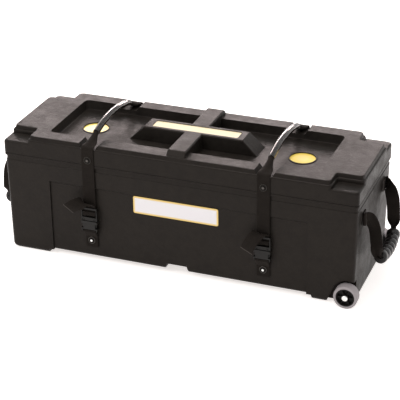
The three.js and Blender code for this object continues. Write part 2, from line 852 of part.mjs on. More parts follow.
// Webbing's width as it gathers towards the tube.
function gathered(out) {
  const start = halfDepth - notchDepth / 3;
  const end = gripHalfSpan + sleeveRadius;
  const share = THREE.MathUtils.clamp((start - out) / (start - end), 0, 1);
  return {
    width: THREE.MathUtils.lerp(webWidth, rolledWidth, share),
    thickness: THREE.MathUtils.lerp(webThickness, rolledThickness, share),
  };
}

const frontTails = {
  left: [raisedTailShares, raisedTwistShares],
  right: [hangingTailShares, hangingTwistShares],
};

function lidStrap(end) {
  const x = end.sign * strapX;
  const across = new THREE.Vector3(1, 0, 0);
  const station = (y, z, size) => ({ at: new THREE.Vector3(x, y, z), across, ...size });
  const plain = { width: webWidth, thickness: webThickness };
  const half = strapLine();
  const lineStations = (flip) => half.map(
    (p) => station(-flip * p.x, p.y, p.x < halfDepth ? gathered(p.x) : plain));
  const arc = [];
  for (let k = 1; k < gripSteps; k += 1) {
    const [out, z] = gripArc(k / gripSteps);
    arc.push(station(-out, z, { width: rolledWidth, thickness: rolledThickness }));
  }
  const frontTail = tailStations(...frontTails[end.name], x, 1).slice(1).reverse();
  const rearTail = tailStations(hangingTailShares, hangingTwistShares, x, -1).slice(1);
  rearTail.forEach((s) => { s.across.negate(); });
  return band([...frontTail, ...lineStations(1), ...arc, ...lineStations(-1).reverse(), ...rearTail]);
}

function carrySleeve() {
  const points = Array.from({ length: gripSteps + 1 }, (_, k) => {
    const [out, z] = gripArc(k / gripSteps);
    return new THREE.Vector3(0, -out, z);
  });
  const route = new THREE.CatmullRomCurve3(points);
  const shape = new THREE.Shape().absarc(0, 0, sleeveRadius, 0, 2 * Math.PI);
  shape.holes.push(new THREE.Path().absarc(0, 0, sleeveRadius - sleeveWall, 0, 2 * Math.PI, true));
  const tube = { extrudePath: route, steps: gripSteps, curveSegments: rivetSides / 2, bevelEnabled: false };
  return solid(new THREE.ExtrudeGeometry(shape, tube));
}

// Buckles, drawn at x = 0 and y = 0 in their mid-plane, front towards -Y

const socketTop = buckleBottom + socketHeight;
const frameBottom = buckleTop - frameHeight;
const socketInner = buckleWidth / 2 - socketWall;
const pivotX = socketInner - prongGap - padWidth / 2;

function buckleFrame() {
  const half = buckleWidth / 2;
  const body = outline([
    [half - frameTopNarrowing, buckleTop, webBend],
    [-half + frameTopNarrowing, buckleTop, webBend],
    [-half, frameBottom + prongPivotRise, webBend],
    [-half + webBend, frameBottom, 0],
    [half - webBend, frameBottom, 0],
    [half, frameBottom + prongPivotRise, webBend],
  ], bendSteps);
  const inner = half - frameRail;
  const slot = (low, high) => block([-inner, -overrun, low], [inner, overrun, high]);
  const plate = cut(
    prismY(body, -frameHalfThickness, frameHalfThickness),
    slot(upperSlotTop - upperSlotHeight, upperSlotTop),
    slot(midBarBottom - lowerSlotHeight, midBarBottom),
    block([-inner, -topBarBack, upperSlotTop - fit], [inner, overrun, buckleTop + overrun]),
    block([-inner, -overrun, midBarBottom - fit], [inner, -midBarFront, midBarTop + fit]),
    block([-inner, -midBarBack, midBarBottom - fit], [inner, overrun, midBarTop + fit]));
  const guide = block(
    [-guideWidth / 2, -prongHalfThickness, frameBottom - prongReach + padHeight / 2],
    [guideWidth / 2, prongHalfThickness, frameBottom + fit]);
  const forks = [-1, 1].map((side) => prongSlot(side));
  return cut(join(plate, guide), ...forks);
}

// The fork in the frame's lower edge that a prong pivots in.
function prongSlot(side) {
  const half = prongWidth / 2 + 2 * fit;
  return block(
    [side * pivotX - half, -overrun, frameBottom - overrun],
    [side * pivotX + half, overrun, frameBottom + prongPivotRise + half]);
}

// One sprung prong about its pivot, pad outwards for side = 1.
function prong(side) {
  const half = prongWidth / 2;
  const outer = socketInner - prongGap - pivotX;
  const tip = frameBottom - prongReach;
  const points = outline([
    [-half, frameBottom + prongPivotRise + half, half / 2],
    [-half, tip + padHeight / 2, half / 2],
    [0, tip, half / 2],
    [outer, tip + padHeight / 2, half / 2],
    [outer, tip + padHeight, half / 2],
    [half, tip + padHeight + half, 0],
    [half, frameBottom + prongPivotRise + half, half / 2],
  ], 1);
  const shape = side > 0 ? points : points.map((p) => new THREE.Vector2(-p.x, p.y)).reverse();
  return moved(prismY(shape, -prongHalfThickness, prongHalfThickness), shift(side * pivotX, 0, 0));
}

function buckleSocket() {
  const half = buckleWidth / 2;
  const body = outline([
    [half - webBend, socketTop, webBend],
    [-half + webBend, socketTop, webBend],
    [-half, socketTop - socketWall, 0],
    [-half, buckleBottom + socketFloor, webBend],
    [-half + socketWall, buckleBottom, webBend],
    [half - socketWall, buckleBottom, webBend],
    [half, buckleBottom + socketFloor, webBend],
    [half, socketTop - socketWall, 0],
  ], bendSteps);
  const inner = half - frameRail;
  const hollow = block(
    [-socketInner, -socketHalfThickness + socketWall, buckleBottom + socketFloor],
    [socketInner, socketHalfThickness - socketWall, socketTop + overrun]);
  const windows = [-1, 1].map((side) => block(
    [side > 0 ? half - windowReach : -half - overrun, -overrun, buckleBottom + windowRise],
    [side > 0 ? half + overrun : windowReach - half, overrun, buckleBottom + windowRise + windowHeight]));
  const anchorSlot = block(
    [-inner, -overrun, buckleBottom + anchorBarHeight],
    [inner, overrun, buckleBottom + anchorBarHeight + anchorSlotHeight]);
  const barRelief = [-1, 1].map((side) => block(
    [-inner, side > 0 ? webThickness : -overrun, buckleBottom - overrun],
    [inner, side > 0 ? overrun : -webThickness, buckleBottom + anchorBarHeight + fit]));
  const stock = prismY(body, -socketHalfThickness, socketHalfThickness);
  return cut(stock, hollow, anchorSlot, ...windows, ...barRelief);
}

// Webbing from the rivet up round the socket's bar and back, as [out, z] from the case's middle.
function anchorStrap() {
  const backOut = (z) => panelOut(z) + fit + webThickness / 2;
  const frontOut = (z) => backOut(z) + fit + webThickness;
  const barOut = webThickness + fit + webThickness / 2;
  const over = buckleBottom + anchorBarHeight + fit + webThickness / 2;
  const line = bentLine([
    [backOut(anchorEndHeight), anchorEndHeight, 0],
    [backOut(anchorBendHeight), anchorBendHeight, webThickness],
    [buckleMid - barOut, buckleBottom, webThickness],
    [buckleMid - barOut, over, webBend],
    [buckleMid + barOut, over, webBend],
    [buckleMid + barOut, buckleBottom, webThickness],
    [frontOut(anchorBendHeight), anchorBendHeight - webThickness, webThickness],
    [frontOut(anchorEndHeight), anchorEndHeight, 0],
  ], bendSteps);
  const across = new THREE.Vector3(1, 0, 0);
  return band(line.map((p) => ({
    at: new THREE.Vector3(0, -p.x, p.y), across, width: webWidth, thickness: webThickness,
  })));
}

// End handles. The webbing is riveted flat to the wall, folds back over the rivet and
// hangs from the fold. All in the right end's frame: x out from the wall at the rivet.

const handleFlat = fit + handleWebThickness / 2;
const handleStack = handleWebThickness + 2 * fit;
const handleHeadTop = handleStack + rivetWasherThickness + rivetHeadHeight;
const handleLayer = handleHeadTop + fit + handleWebThickness / 2;
const handleFoldRadius = (handleLayer - handleFlat) / 2;
const handleLegStart = handleFoldY - handleFoldRadius;
const handleGripSteps = 14;

// From the fold to the grip's end: shares of the way out, along the wall and down, and
// the way that the band's width points.
const handleLegShares = [
  { out: 0.01, along: 0.05, fall: 0, across: [0, 0, 1] },
  { out: 0.1, along: 0.1, fall: 0, across: [0.08, 0, 1] },
  { out: 0.25, along: 0.24, fall: 0.04, across: [0.3, -0.05, 0.95] },
  { out: 0.44, along: 0.34, fall: 0.13, across: [0.6, -0.12, 0.75] },
  { out: 0.6, along: 0.42, fall: 0.25, across: [0.85, -0.2, 0.45] },
  { out: 0.7, along: 0.46, fall: 0.38, across: [0.95, -0.24, 0.15] },
  { out: 0.77, along: 0.5, fall: 0.54, across: [0.97, -0.24, 0] },
  { out: 0.83, along: 0.56, fall: 0.7, across: [0.97, -0.24, 0] },
  { out: 0.89, along: 0.68, fall: 0.85, across: [0.98, -0.2, 0] },
  { out: 0.95, along: 0.84, fall: 0.95, across: [1, -0.1, 0] },
];

function handleGripPoint(share) {
  const bow = 1 - (2 * share - 1) ** 2;
  return new THREE.Vector3(
    handleGripOut + handleBowOut * bow,
    -handleGripHalf + 2 * handleGripHalf * share,
    handleGripHeight - handleBowDrop * bow);
}

const upright = new THREE.Vector3(0, 0, 1);
const wideWeb = { width: handleWebWidth, thickness: handleWebThickness };
const rolledWeb = { width: handleRolledWidth, thickness: handleRolledThickness };

// The riveted tab at the front corner, up to the fold.
function handleTab() {
  const at = (out, y) => ({ at: new THREE.Vector3(out, y, handleRivetHeight), across: upright, ...wideWeb });
  const stations = [at(handleFlat, handleTabMargin - handleRivetY)];
  const steps = 2 * bendSteps;
  for (let k = 0; k <= steps; k += 1) {
    const angle = (Math.PI * k) / steps;
    stations.push(at(
      handleFlat + handleFoldRadius * (1 - Math.cos(angle)),
      -handleLegStart - handleFoldRadius * Math.sin(angle)));
  }
  stations.push(at(handleLayer, handleTabReturn - handleLegStart));
  const hole = moved(rivetHole(), shift(0, -handleRivetY, handleRivetHeight).multiply(turnZ(rightAngle)));
  return cut(band(stations), hole);
}

function handleLeg() {
  const legFront = handleTabReturn + fit - handleLegStart;
  const start = new THREE.Vector3(handleLayer, legFront, handleRivetHeight);
  const stations = [{ at: start, across: upright, ...wideWeb }];
  for (const { out, along, fall, across } of handleLegShares) {
    const folded = Math.max(0, 1 - (1 - fall) / handleFoldShare);
    stations.push({
      at: new THREE.Vector3(
        THREE.MathUtils.lerp(handleLayer, handleGripOut, out),
        THREE.MathUtils.lerp(start.y, -handleGripHalf, along),
        THREE.MathUtils.lerp(handleRivetHeight, handleGripHeight, fall)),
      across: new THREE.Vector3(...across),
      width: THREE.MathUtils.lerp(wideWeb.width, rolledWeb.width, folded),
      thickness: THREE.MathUtils.lerp(wideWeb.thickness, rolledWeb.thickness, folded),
    });
  }
  return stations;
}

function handleGripStations(extra = 0) {
  const across = new THREE.Vector3(1, 0, 0);
  return Array.from({ length: handleGripSteps / 2 + 1 }, (_, k) => ({
    at: handleGripPoint((2 * k) / handleGripSteps),
    across,
    width: rolledWeb.width + 2 * extra,
    thickness: rolledWeb.thickness + 2 * extra,
  }));
}

function handleStrap() {
  const leg = handleLeg();
  const mirrored = leg.map((s) => ({
    ...s,
    at: s.at.clone().setY(-s.at.y),
    across: s.across.clone().setY(-s.across.y),
  })).reverse();
  return band([...leg, ...handleGripStations(), ...mirrored]);
}

function handleGrip() {
  const rings = [];
  for (let k = 0; k <= handleGripSteps; k += 1) {
    const share = k / handleGripSteps;
    const from = handleGripPoint(Math.max(share - 0.5 / handleGripSteps, 0));
    const to = handleGripPoint(Math.min(share + 0.5 / handleGripSteps, 1));
    const along = to.sub(from).normalize();
    const side = new THREE.Vector3(1, 0, 0).addScaledVector(along, -along.x).normalize();
    const up = side.clone().cross(along);
    const flare = Math.abs(2 * share - 1) ** 6 * (handleFlareRadius - handleGripRadius);
    const radius = handleGripRadius + flare + (k % 2 ? 0 : -handleScallop);
    const end = k === 0 || k === handleGripSteps ? handleScallop : 0;
    rings.push(Array.from({ length: smallSides }, (_, n) => {
      const angle = (2 * Math.PI * n) / smallSides;
      return handleGripPoint(share)
        .addScaledVector(side, (radius - end) * Math.cos(angle))
        .addScaledVector(up, (radius - end) * Math.sin(angle));
    }));
  }
  const passage = handleGripStations(2 * fit);
  const extend = (inner, outer) => ({
    ...outer, at: outer.at.clone().multiplyScalar(2).sub(inner.at),
  });
  passage.unshift(extend(passage[1], passage[0]));
  passage.push(extend(passage.at(-2), passage.at(-1)));
  return cut(loft(rings), band(passage));
}

const handleAt = (end) => turnZ(end.sign > 0 ? 0 : Math.PI)
  .multiply(shift(endOut(handleRivetHeight), 0, 0));

// Wheels, turned about the Y axis with the outer face towards -Y at y = 0

function tyre() {
  const inner = wheelRadius - tyreThickness;
  return cut(
    turned([
      [0, 0],
      [wheelRadius - tyreShoulder, 0],
      [wheelRadius, tyreShoulder],
      [wheelRadius, wheelWidth - tyreShoulder],
      [wheelRadius - tyreShoulder, wheelWidth],
      [0, wheelWidth],
    ]),
    rodY(inner, -overrun, wheelWidth + overrun, roundSides));
}

function hub() {
  const rim = wheelRadius - tyreThickness - fit;
  const platePlane = (wheelWidth - hubPlate) / 2;
  const dish = turned([
    [axleRadius + fit, 0],
    [hubBossRadius, 0],
    [hubBossRadius, platePlane],
    [rim - hubRim, platePlane],
    [rim - hubRim, hubDish / 4],
    [rim, hubDish / 4],
    [rim, wheelWidth],
    [axleRadius + fit, wheelWidth],
    [axleRadius + fit, 0],
  ]);
  const reach = rim - hubRim / 2;
  const spokes = Array.from({ length: hubRibs }, (_, k) => {
    const spoke = block(
      [hubBossRadius - hubRim / 2, hubDish, -hubRibThickness / 2],
      [reach, platePlane + hubPlate / 2, hubRibThickness / 2]);
    return moved(spoke, new THREE.Matrix4().makeRotationY((2 * Math.PI * k) / hubRibs));
  });
  return join(dish, ...spokes);
}

// Axle bolt: domed cap outside the hub, nut inside the case.
function axle() {
  const seat = -fit;
  const nutSeat = wheelWidth + pocketSide + wall + fit;
  const profile = [[0, nutSeat + axleNutHeight], [axleNutRadius, nutSeat + axleNutHeight],
    [axleNutRadius, nutSeat], [axleRadius, nutSeat], [axleRadius, seat], [axleHeadRadius, seat]];
  for (let k = 0; k <= bendSteps; k += 1) {
    const angle = (rightAngle * k) / bendSteps;
    const radius = k === bendSteps ? 0 : axleHeadRadius * Math.cos(angle);
    profile.push([radius, seat - axleHeadHeight / 3 - (axleHeadHeight * 2 * Math.sin(angle)) / 3]);
  }
  return turned(profile, smallSides);
}

const wheelAt = (face) => shift(axleX, face.flip * -wheelOuter, wheelRadius)
  .multiply(face.flip > 0 ? turnZ(0) : turnZ(Math.PI));

// Assembly

const drumCase = new THREE.Group();
drumCase.name = 'drum_hardware_case';
drumCase.add(piece('base_shell', baseShell(), shellPlastic));
drumCase.add(piece('lid_shell', lidShell(), shellPlastic));
drumCase.add(piece('front_plate', namePlate(), plateFace, namePlateAt()));
drumCase.add(piece('plinth_label', plinthLabel(), labelFace));

for (const end of ends) {
  drumCase.add(piece(`badge_${end.name}`, badge(), badgeFace, badgeAt(end)));
  const holes = strapPlaces.filter((place) => place.end === end)
    .map((place) => moved(rivetHole(), lidRivetAt(place)));
  drumCase.add(piece(`lid_strap_${end.name}`, cut(lidStrap(end), ...holes), webbing));
  drumCase.add(piece(`carry_sleeve_${end.name}`, carrySleeve(), clearTube, shift(end.sign * strapX, 0, 0)));
  drumCase.add(piece(`handle_strap_${end.name}`, handleStrap(), webbing, handleAt(end)));
  drumCase.add(piece(`handle_grip_${end.name}`, handleGrip(), gripRubber, handleAt(end)));
  for (const [side, corner] of [[-1, 'a'], [1, 'b']]) {
    const tab = side < 0 ? handleTab() : mirrorY(handleTab());
    drumCase.add(piece(`handle_tab_${end.name}_${corner}`, tab, webbing, handleAt(end)));
    drumCase.add(piece(`handle_rivet_${end.name}_${corner}`, rivet(handleStack + wall), darkMetal,
      handleRivetAt(end, side).multiply(shift(0, -handleStack, 0))));
  }
}

for (const place of strapPlaces) {
  const buckleAt = place.face.turn.clone().multiply(shift(place.x, -buckleMid, 0));
  drumCase.add(piece(`buckle_frame_${place.name}`, buckleFrame(), bucklePlastic, buckleAt));
  drumCase.add(piece(`buckle_socket_${place.name}`, buckleSocket(), bucklePlastic, buckleAt));
  for (const [side, letter] of [[-1, 'a'], [1, 'b']]) {
    drumCase.add(piece(`prong_${place.name}_${letter}`, prong(side), bucklePlastic, buckleAt));
  }
  const anchorAt = place.face.turn.clone().multiply(shift(place.x, 0, 0));
  const anchorHole = moved(rivetHole(), anchorAt.clone().invert().multiply(anchorRivetAt(place)));
  drumCase.add(piece(`anchor_strap_${place.name}`, cut(anchorStrap(), anchorHole), webbing, anchorAt));
  const lidStack = webThickness + 2 * fit;
  const anchorStack = 2 * webThickness + 3 * fit;
  drumCase.add(piece(`lid_rivet_${place.name}`, rivet(lidStack + wall), darkMetal,
    lidRivetAt(place).multiply(shift(0, -lidStack, 0))));
  drumCase.add(piece(`anchor_rivet_${place.name}`, rivet(anchorStack + wall), brightMetal,
    anchorRivetAt(place).multiply(shift(0, -anchorStack, 0))));
}

for (const face of faces) {
  drumCase.add(piece(`tyre_${face.name}`, tyre(), tyreRubber, wheelAt(face)));
  drumCase.add(piece(`hub_${face.name}`, hub(), bucklePlastic, wheelAt(face)));
  drumCase.add(piece(`axle_${face.name}`, axle(), brightMetal, wheelAt(face)));
}

export default drumCase;
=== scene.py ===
import json
import math

import bmesh
import bpy
from mathutils import Matrix, Vector


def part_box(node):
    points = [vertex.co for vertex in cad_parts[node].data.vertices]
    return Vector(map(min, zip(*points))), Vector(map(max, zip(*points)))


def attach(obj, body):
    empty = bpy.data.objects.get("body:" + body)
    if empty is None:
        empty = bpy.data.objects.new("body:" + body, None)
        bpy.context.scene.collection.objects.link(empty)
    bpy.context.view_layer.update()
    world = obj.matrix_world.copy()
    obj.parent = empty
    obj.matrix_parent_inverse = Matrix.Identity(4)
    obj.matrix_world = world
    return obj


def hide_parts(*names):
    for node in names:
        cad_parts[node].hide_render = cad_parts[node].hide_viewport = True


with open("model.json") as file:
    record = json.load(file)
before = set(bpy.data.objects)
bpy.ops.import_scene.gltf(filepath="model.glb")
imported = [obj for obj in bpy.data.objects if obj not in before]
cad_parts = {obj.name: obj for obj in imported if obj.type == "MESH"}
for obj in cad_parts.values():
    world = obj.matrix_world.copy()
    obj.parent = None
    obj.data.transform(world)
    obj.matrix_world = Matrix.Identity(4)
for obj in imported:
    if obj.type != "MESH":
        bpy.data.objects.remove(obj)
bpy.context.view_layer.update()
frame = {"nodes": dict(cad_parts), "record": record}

# Base and lid. Two mouldings of black polyethylene with a fine pebbled skin, drawn off
# their moulds with every edge a little round. The lid drops over a lip on the base.

mm = 0.001
moulded_edge = 1.0 * mm
moulding_dark = (0.0082, 0.0067, 0.0054, 1)
moulding_pale = (0.0145, 0.0120, 0.0098, 1)
face_angle = math.radians(34)


class Wire:
    """One output of a node, so that sums on it are written as plain expressions."""

    def __init__(self, tree, link=None):
        self.tree = tree
        self.link = link

    def node(self, kind, settings=None, sockets=None, output=0):
        """Adds any node: settings first, then the values or links of its sockets."""
        made = self.tree.nodes.new(kind)
        for name, value in (settings or {}).items():
            setattr(made, name, value)
        for name, value in (sockets or {}).items():
            if isinstance(value, Wire):
                self.tree.links.new(value.link, made.inputs[name])
            else:
                made.inputs[name].default_value = value
        return Wire(self.tree, made.outputs[output])

    def sum(self, operation, *terms):
        """A Math node: this number first, then the others."""
        return self.node("ShaderNodeMath", {"operation": operation}, dict(enumerate((self, *terms))))

    def __add__(self, other):
        return self.sum("ADD", other)

    def __sub__(self, other):
        return self.sum("SUBTRACT", other)

    def __mul__(self, other):
        return self.sum("MULTIPLY", other)

    def __truediv__(self, other):
        return self.sum("DIVIDE", other)

    def __rsub__(self, other):
        return self * -1.0 + other

    def __pow__(self, other):
        return self.sum("POWER", other)

    __radd__ = __add__
    __rmul__ = __mul__

    def clear_of(self, low, high):
        """0 below low, 1 above high, smooth between."""
        limits = {"Value": self, "From Min": low, "From Max": high}
        return self.node("ShaderNodeMapRange", {"interpolation_type": "SMOOTHSTEP"}, limits)

    def places(self, source="Object"):
        return self.node("ShaderNodeTexCoord", None, None, source)

    def parts(self):
        """The three numbers of a vector."""
        split = self.node("ShaderNodeSeparateXYZ", None, {0: self})
        return [Wire(self.tree, out) for out in split.link.node.outputs]

    def mottle(self, places, scale, detail=3.0, roughness=0.55):
        sockets = {"Vector": places, "Scale": scale, "Detail": detail, "Roughness": roughness}
        return self.node("ShaderNodeTexNoise", None, sockets)

    def blend(self, share, first, second):
        """A colour between two colours."""
        sockets = {0: share, 6: first, 7: second}
        return self.node("ShaderNodeMix", {"data_type": "RGBA"}, sockets, 2)

    def relief(self, height, depth, strength):
        """A normal from a height between 0 and 1, depth in metres."""
        sockets = {"Height": height, "Distance": depth, "Strength": strength}
        return self.node("ShaderNodeBump", None, sockets)


def material(name, fixed, varied=None):
    """A Principled material: fixed sockets, and those that change over the surface."""
    made = bpy.data.materials.new(name)
    made.use_nodes = True
    shader = made.node_tree.nodes["Principled BSDF"]
    for socket, value in fixed.items():
        shader.inputs[socket].default_value = value
    if varied:
        for socket, wire in varied(Wire(made.node_tree)).items():
            made.node_tree.links.new(wire.link, shader.inputs[socket])
    return made


def placed(name, mesh):
    """An object of that mesh at the origin."""
    made = bpy.data.objects.new(name, mesh)
    bpy.context.scene.collection.objects.link(made)
    return made


def settled(piece):
    """Turns a piece and its modifiers into a plain mesh."""
    bpy.context.view_layer.update()
    depsgraph = bpy.context.evaluated_depsgraph_get()
    mesh = bpy.data.meshes.new_from_object(piece.evaluated_get(depsgraph))
    piece.modifiers.clear()
    piece.data = mesh
    return piece


def softened(node, name, ease):
    """A copy of a CAD node with its facets joined up and its hard edges eased."""
    mesh = frame["nodes"][node].data.copy()
    work = bmesh.new()
    work.from_mesh(mesh)
    bmesh.ops.remove_doubles(work, verts=work.verts, dist=0.02 * mm)
    flat = math.radians(0.6)
    bmesh.ops.dissolve_limit(work, angle_limit=flat, verts=work.verts, edges=work.edges)
    work.to_mesh(mesh)
    work.free()
    mesh.shade_smooth()
    piece = placed(name, mesh)
    eased = piece.modifiers.new("Eased edges", "BEVEL")
    eased.width = ease
    eased.segments = 2
    eased.limit_method = "ANGLE"
    eased.angle_limit = face_angle
    eased.miter_outer = "MITER_ARC"
    flats = piece.modifiers.new("Flat faces stay flat", "WEIGHTED_NORMAL")
    flats.weight = 100
    return settled(piece)


def dress(piece, finish, body, slot, *nodes):
    """Gives a piece its material and its place in the assembly."""
    piece.data.materials.clear()
    piece.data.materials.append(finish)
    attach(piece, body)
    if nodes:
        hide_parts(*nodes)


def pebbled(wire):
    places = wire.places()
    cloud = wire.mottle(places, 9.0, 4.0)
    patch = wire.mottle(places, 38.0, 5.0, 0.65)
    grain = wire.mottle(places, 900.0, 2.0)
    ripple = wire.mottle(places, 85.0, 5.0, 0.7)
    share = (cloud * 0.4 + patch * 0.6).clear_of(0.34, 0.66)
    scuffs = wire.mottle(places, 130.0, 6.0, 0.7).clear_of(0.58, 0.8)
    return {
        "Base Color": wire.blend(share, moulding_dark, moulding_pale),
        "Roughness": 0.38 + 0.16 * share + 0.12 * scuffs,
        "Normal": wire.relief(0.12 * grain + ripple, 2.0 * mm, 0.45),
    }


moulding = material("Pebbled black polyethylene", {
    "Specular IOR Level": 0.14, "Specular Tint": (1.0, 0.9, 0.86, 1)}, pebbled)
for part in ("base", "lid"):
    shell = softened(f"{part}_shell", f"{part}_moulding", moulded_edge)
    dress(shell, moulding, part, "shell", f"{part}_shell")

# Name plate, plinth label and badges. Printed plastic sheet, glued into sunk places, and
# left plain. The plate has a warm border, and each badge is paler in the middle.

sheet_edge = 0.3 * mm
plate_middle = (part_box("front_plate")[0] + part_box("front_plate")[1]) / 2
plate_half = (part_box("front_plate")[1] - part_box("front_plate")[0]) / 2
plate_border = 4.4 * mm
plate_fade_shares = (0.5, 1.6)
plate_white = (0.88, 0.84, 0.85, 1)
plate_warm = (0.88, 0.62, 0.20, 1)
label_cream = (0.58, 0.50, 0.30, 1)
badge_gold = (0.80, 0.60, 0.10, 1)
badge_pale = (0.80, 0.65, 0.22, 1)
badge_fade_shares = (0.2, 0.9)


def bordered(wire):
    x, _, z = wire.places().parts()
    across = plate_half.x - (x - plate_middle.x).sum("ABSOLUTE")
    up = plate_half.z - (z - plate_middle.z).sum("ABSOLUTE")
    inside = across.sum("SMOOTH_MIN", up, 2.0 * mm)
    share = inside.clear_of(*[plate_border * fade for fade in plate_fade_shares])
    return {
        "Base Color": wire.blend(share, plate_warm, plate_white),
        "Roughness": 0.32 + 0.12 * wire.mottle(wire.places(), 60.0),
    }


def creamy(wire):
    cloud = wire.mottle(wire.places(), 30.0)
    pale = tuple(1.12 * value for value in label_cream[:3]) + (1,)
    return {
        "Base Color": wire.blend(cloud, label_cream, pale),
        "Roughness": 0.36 + 0.15 * cloud,
    }


def rimmed(side, dull):
    low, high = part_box(f"badge_{side}")
    middle = (low + high) / 2
    radius = (high.x - low.x) / 2

    def varied(wire):
        x, y, _ = wire.places().parts()
        out = ((x - middle.x) ** 2 + (y - middle.y) ** 2) ** 0.5
        rim = out.clear_of(*[radius * share for share in badge_fade_shares])
        return {
            "Base Color": wire.blend(rim, badge_pale, badge_gold),
            "Roughness": dull + 0.1 * wire.mottle(wire.places(), 80.0),
        }

    return varied


plate = softened("front_plate", "name_plate", sheet_edge)
dress(plate, material("Plate print", {}, bordered), "base", "plate", "front_plate")
label = softened("plinth_label", "plinth_strip", sheet_edge)
dress(label, material("Label print", {}, creamy), "lid", "label", "plinth_label")
for side, dull, shine in (("left", 0.24, 0.6), ("right", 0.5, 0.3)):
    badge = softened(f"badge_{side}", f"round_badge_{side}", sheet_edge)
    finish = material(f"Badge print {side}", {"Specular IOR Level": shine}, rimmed(side, dull))
    dress(badge, finish, "lid", "badge", f"badge_{side}")

# Lid straps. 35 mm black polypropylene webbing, one length per strap: threaded through
# each buckle, riveted to the skirt, and rolled under lengthways inside the tube.

web_width = 35.0
web_thickness = 2.0
fold_radius = 1.05
rolled_turn = math.radians(170)
web_dark = (0.0040, 0.0032, 0.0026, 1)
web_pale = (0.0205, 0.0168, 0.0142, 1)
# Paler colour at each length's sealed cut end: partly the melted end's own colour, partly a painted
# highlight.
web_sealed_end_and_glint = (0.075, 0.066, 0.060, 1)


def corner_arc(here, before, after, radius, steps):
    """The arc that rounds a corner of a line in a plane."""
    if not radius:
        return [here]
    back = (before - here).normalized()
    ahead = (after - here).normalized()
    half = math.acos(max(-1.0, min(1.0, back.dot(ahead)))) / 2
    middle = here + (back + ahead).normalized() * radius / math.sin(half)
    start = here + back * radius / math.tan(half) - middle
    sweep = start.angle_signed(here + ahead * radius / math.tan(half) - middle)
    return [middle + Matrix.Rotation(-sweep * k / steps, 2) @ start for k in range(steps + 1)]


def bent_line(corners, steps=8):
    """An open line through corners (x, y, radius), with an arc at each inner corner."""
    points = [Vector(corner[:2]) for corner in corners]
    line = [points[0]]
    for before, here, after, corner in zip(points, points[1:], points[2:], corners[1:]):
        line += corner_arc(here, before, after, corner[2], steps)
    return line + [points[-1]]


def stepped(line, stride):
    """The same line with points no further apart than the stride."""
    made = [line[0]]
    for start, end in zip(line, line[1:]):
        count = max(1, math.ceil((end - start).length / stride))
        made += [start.lerp(end, k / count) for k in range(1, count + 1)]
    return made


def web_section(width, thickness, fold):
    """The webbing's section as (u, x, y): folded in three at fold 1, rolled under at -1."""
    if fold < 0:
        spans = [(width / 2, rolled_turn * fold, 11)]
    else:
        bend = math.pi * fold_radius
        middle = (width - 2 * bend) * 0.34
        spans = [
            (middle / 2, 0.0, 3), (bend, math.pi * fold, 5), ((width - middle) / 2 - bend, 0.0, 3)]
    u = 0.0
    heading = 0.0
    point = Vector((0.0, min(fold, 0.0) * width / 2 / rolled_turn))
    half = [(u, point, heading)]
    for length, swing, steps in spans:
        for _ in range(steps):
            step = length / steps
            heading -= swing / steps / 2
            point = point + Vector((math.cos(heading), math.sin(heading))) * step
            heading -= swing / steps / 2
            u += step
            half.append((u, point, heading))
    if fold < 0:
        other = [(-u, Vector((-point.x, point.y)), -heading) for u, point, heading in half[:0:-1]]
    else:
        other = [(-u, -point, heading) for u, point, heading in half[:0:-1]]
    whole = other + half
    over = []
    under = []
    for u, point, heading in whole:
        out = Vector((-math.sin(heading), math.cos(heading))) * thickness / 2
        over.append((u, *(point + out)))
        under.append((u, *(point - out)))
    ends = []
    for u, point, heading in (whole[-1], whole[0]):
        away = Vector((math.cos(heading), math.sin(heading))) * thickness / 2
        away *= 1 if u > 0 else -1
        out = Vector((-math.sin(heading), math.cos(heading))) * thickness / 2
        out *= 1 if u > 0 else -1
        ends.append([(u, *(point + out * 0.6 + away * 0.5)), (u, *(point - out * 0.6 + away * 0.5))])
    return over + ends[0] + under[::-1] + ends[1]


def skin(rings, closed_ends=True):
    """Faces between rings of equal count, with a face across each end."""
    count = len(rings[0])
    faces = []
    for r in range(len(rings) - 1):
        for k in range(count):
            a = r * count + k
            b = r * count + (k + 1) % count
            faces.append((a, b, b + count, a + count))
    if closed_ends:
        faces.append(tuple(range(count - 1, -1, -1)))
        faces.append(tuple(range((len(rings) - 1) * count, len(rings) * count)))
    return faces


def shaped(name, points, faces, sharp=math.radians(40), uvs=None):
    """A closed piece from points in millimetres, doubles merged and normals outwards."""
    mesh = bpy.data.meshes.new(name)
    mesh.from_pydata([Vector(p) * mm for p in points], [], faces)
    if uvs:
        layer = mesh.uv_layers.new(name="along")
        for corner in mesh.loops:
            layer.data[corner.index].uv = uvs[corner.vertex_index]
    work = bmesh.new()
    work.from_mesh(mesh)
    bmesh.ops.remove_doubles(work, verts=work.verts, dist=0.002 * mm)
    bmesh.ops.dissolve_degenerate(work, edges=work.edges, dist=0.001 * mm)
    bmesh.ops.recalc_face_normals(work, faces=work.faces)
    work.to_mesh(mesh)
    work.free()
    mesh.shade_smooth()
    mesh.set_sharp_from_angle(angle=sharp)
    return placed(name, mesh)


def ribbon(name, stations):
    """Webbing through stations (point, across, width, thickness, fold)."""
    points = []
    uvs = []
    rings = []
    run = 0.0
    for i, (at, across, width, thickness, fold) in enumerate(stations):
        before = stations[max(i - 1, 0)][0]
        after = stations[min(i + 1, len(stations) - 1)][0]
        along = (after - before).normalized()
        side = (across - along * across.dot(along)).normalized()
        through = along.cross(side)
        run += (at - before).length
        section = web_section(width, thickness, fold)
        rings.append([at + side * x + through * y for _, x, y in section])
        points += rings[-1]
        uvs += [(u * mm, run * mm) for u, _, _ in section]
    return shaped(name, points, skin(rings), uvs=uvs)


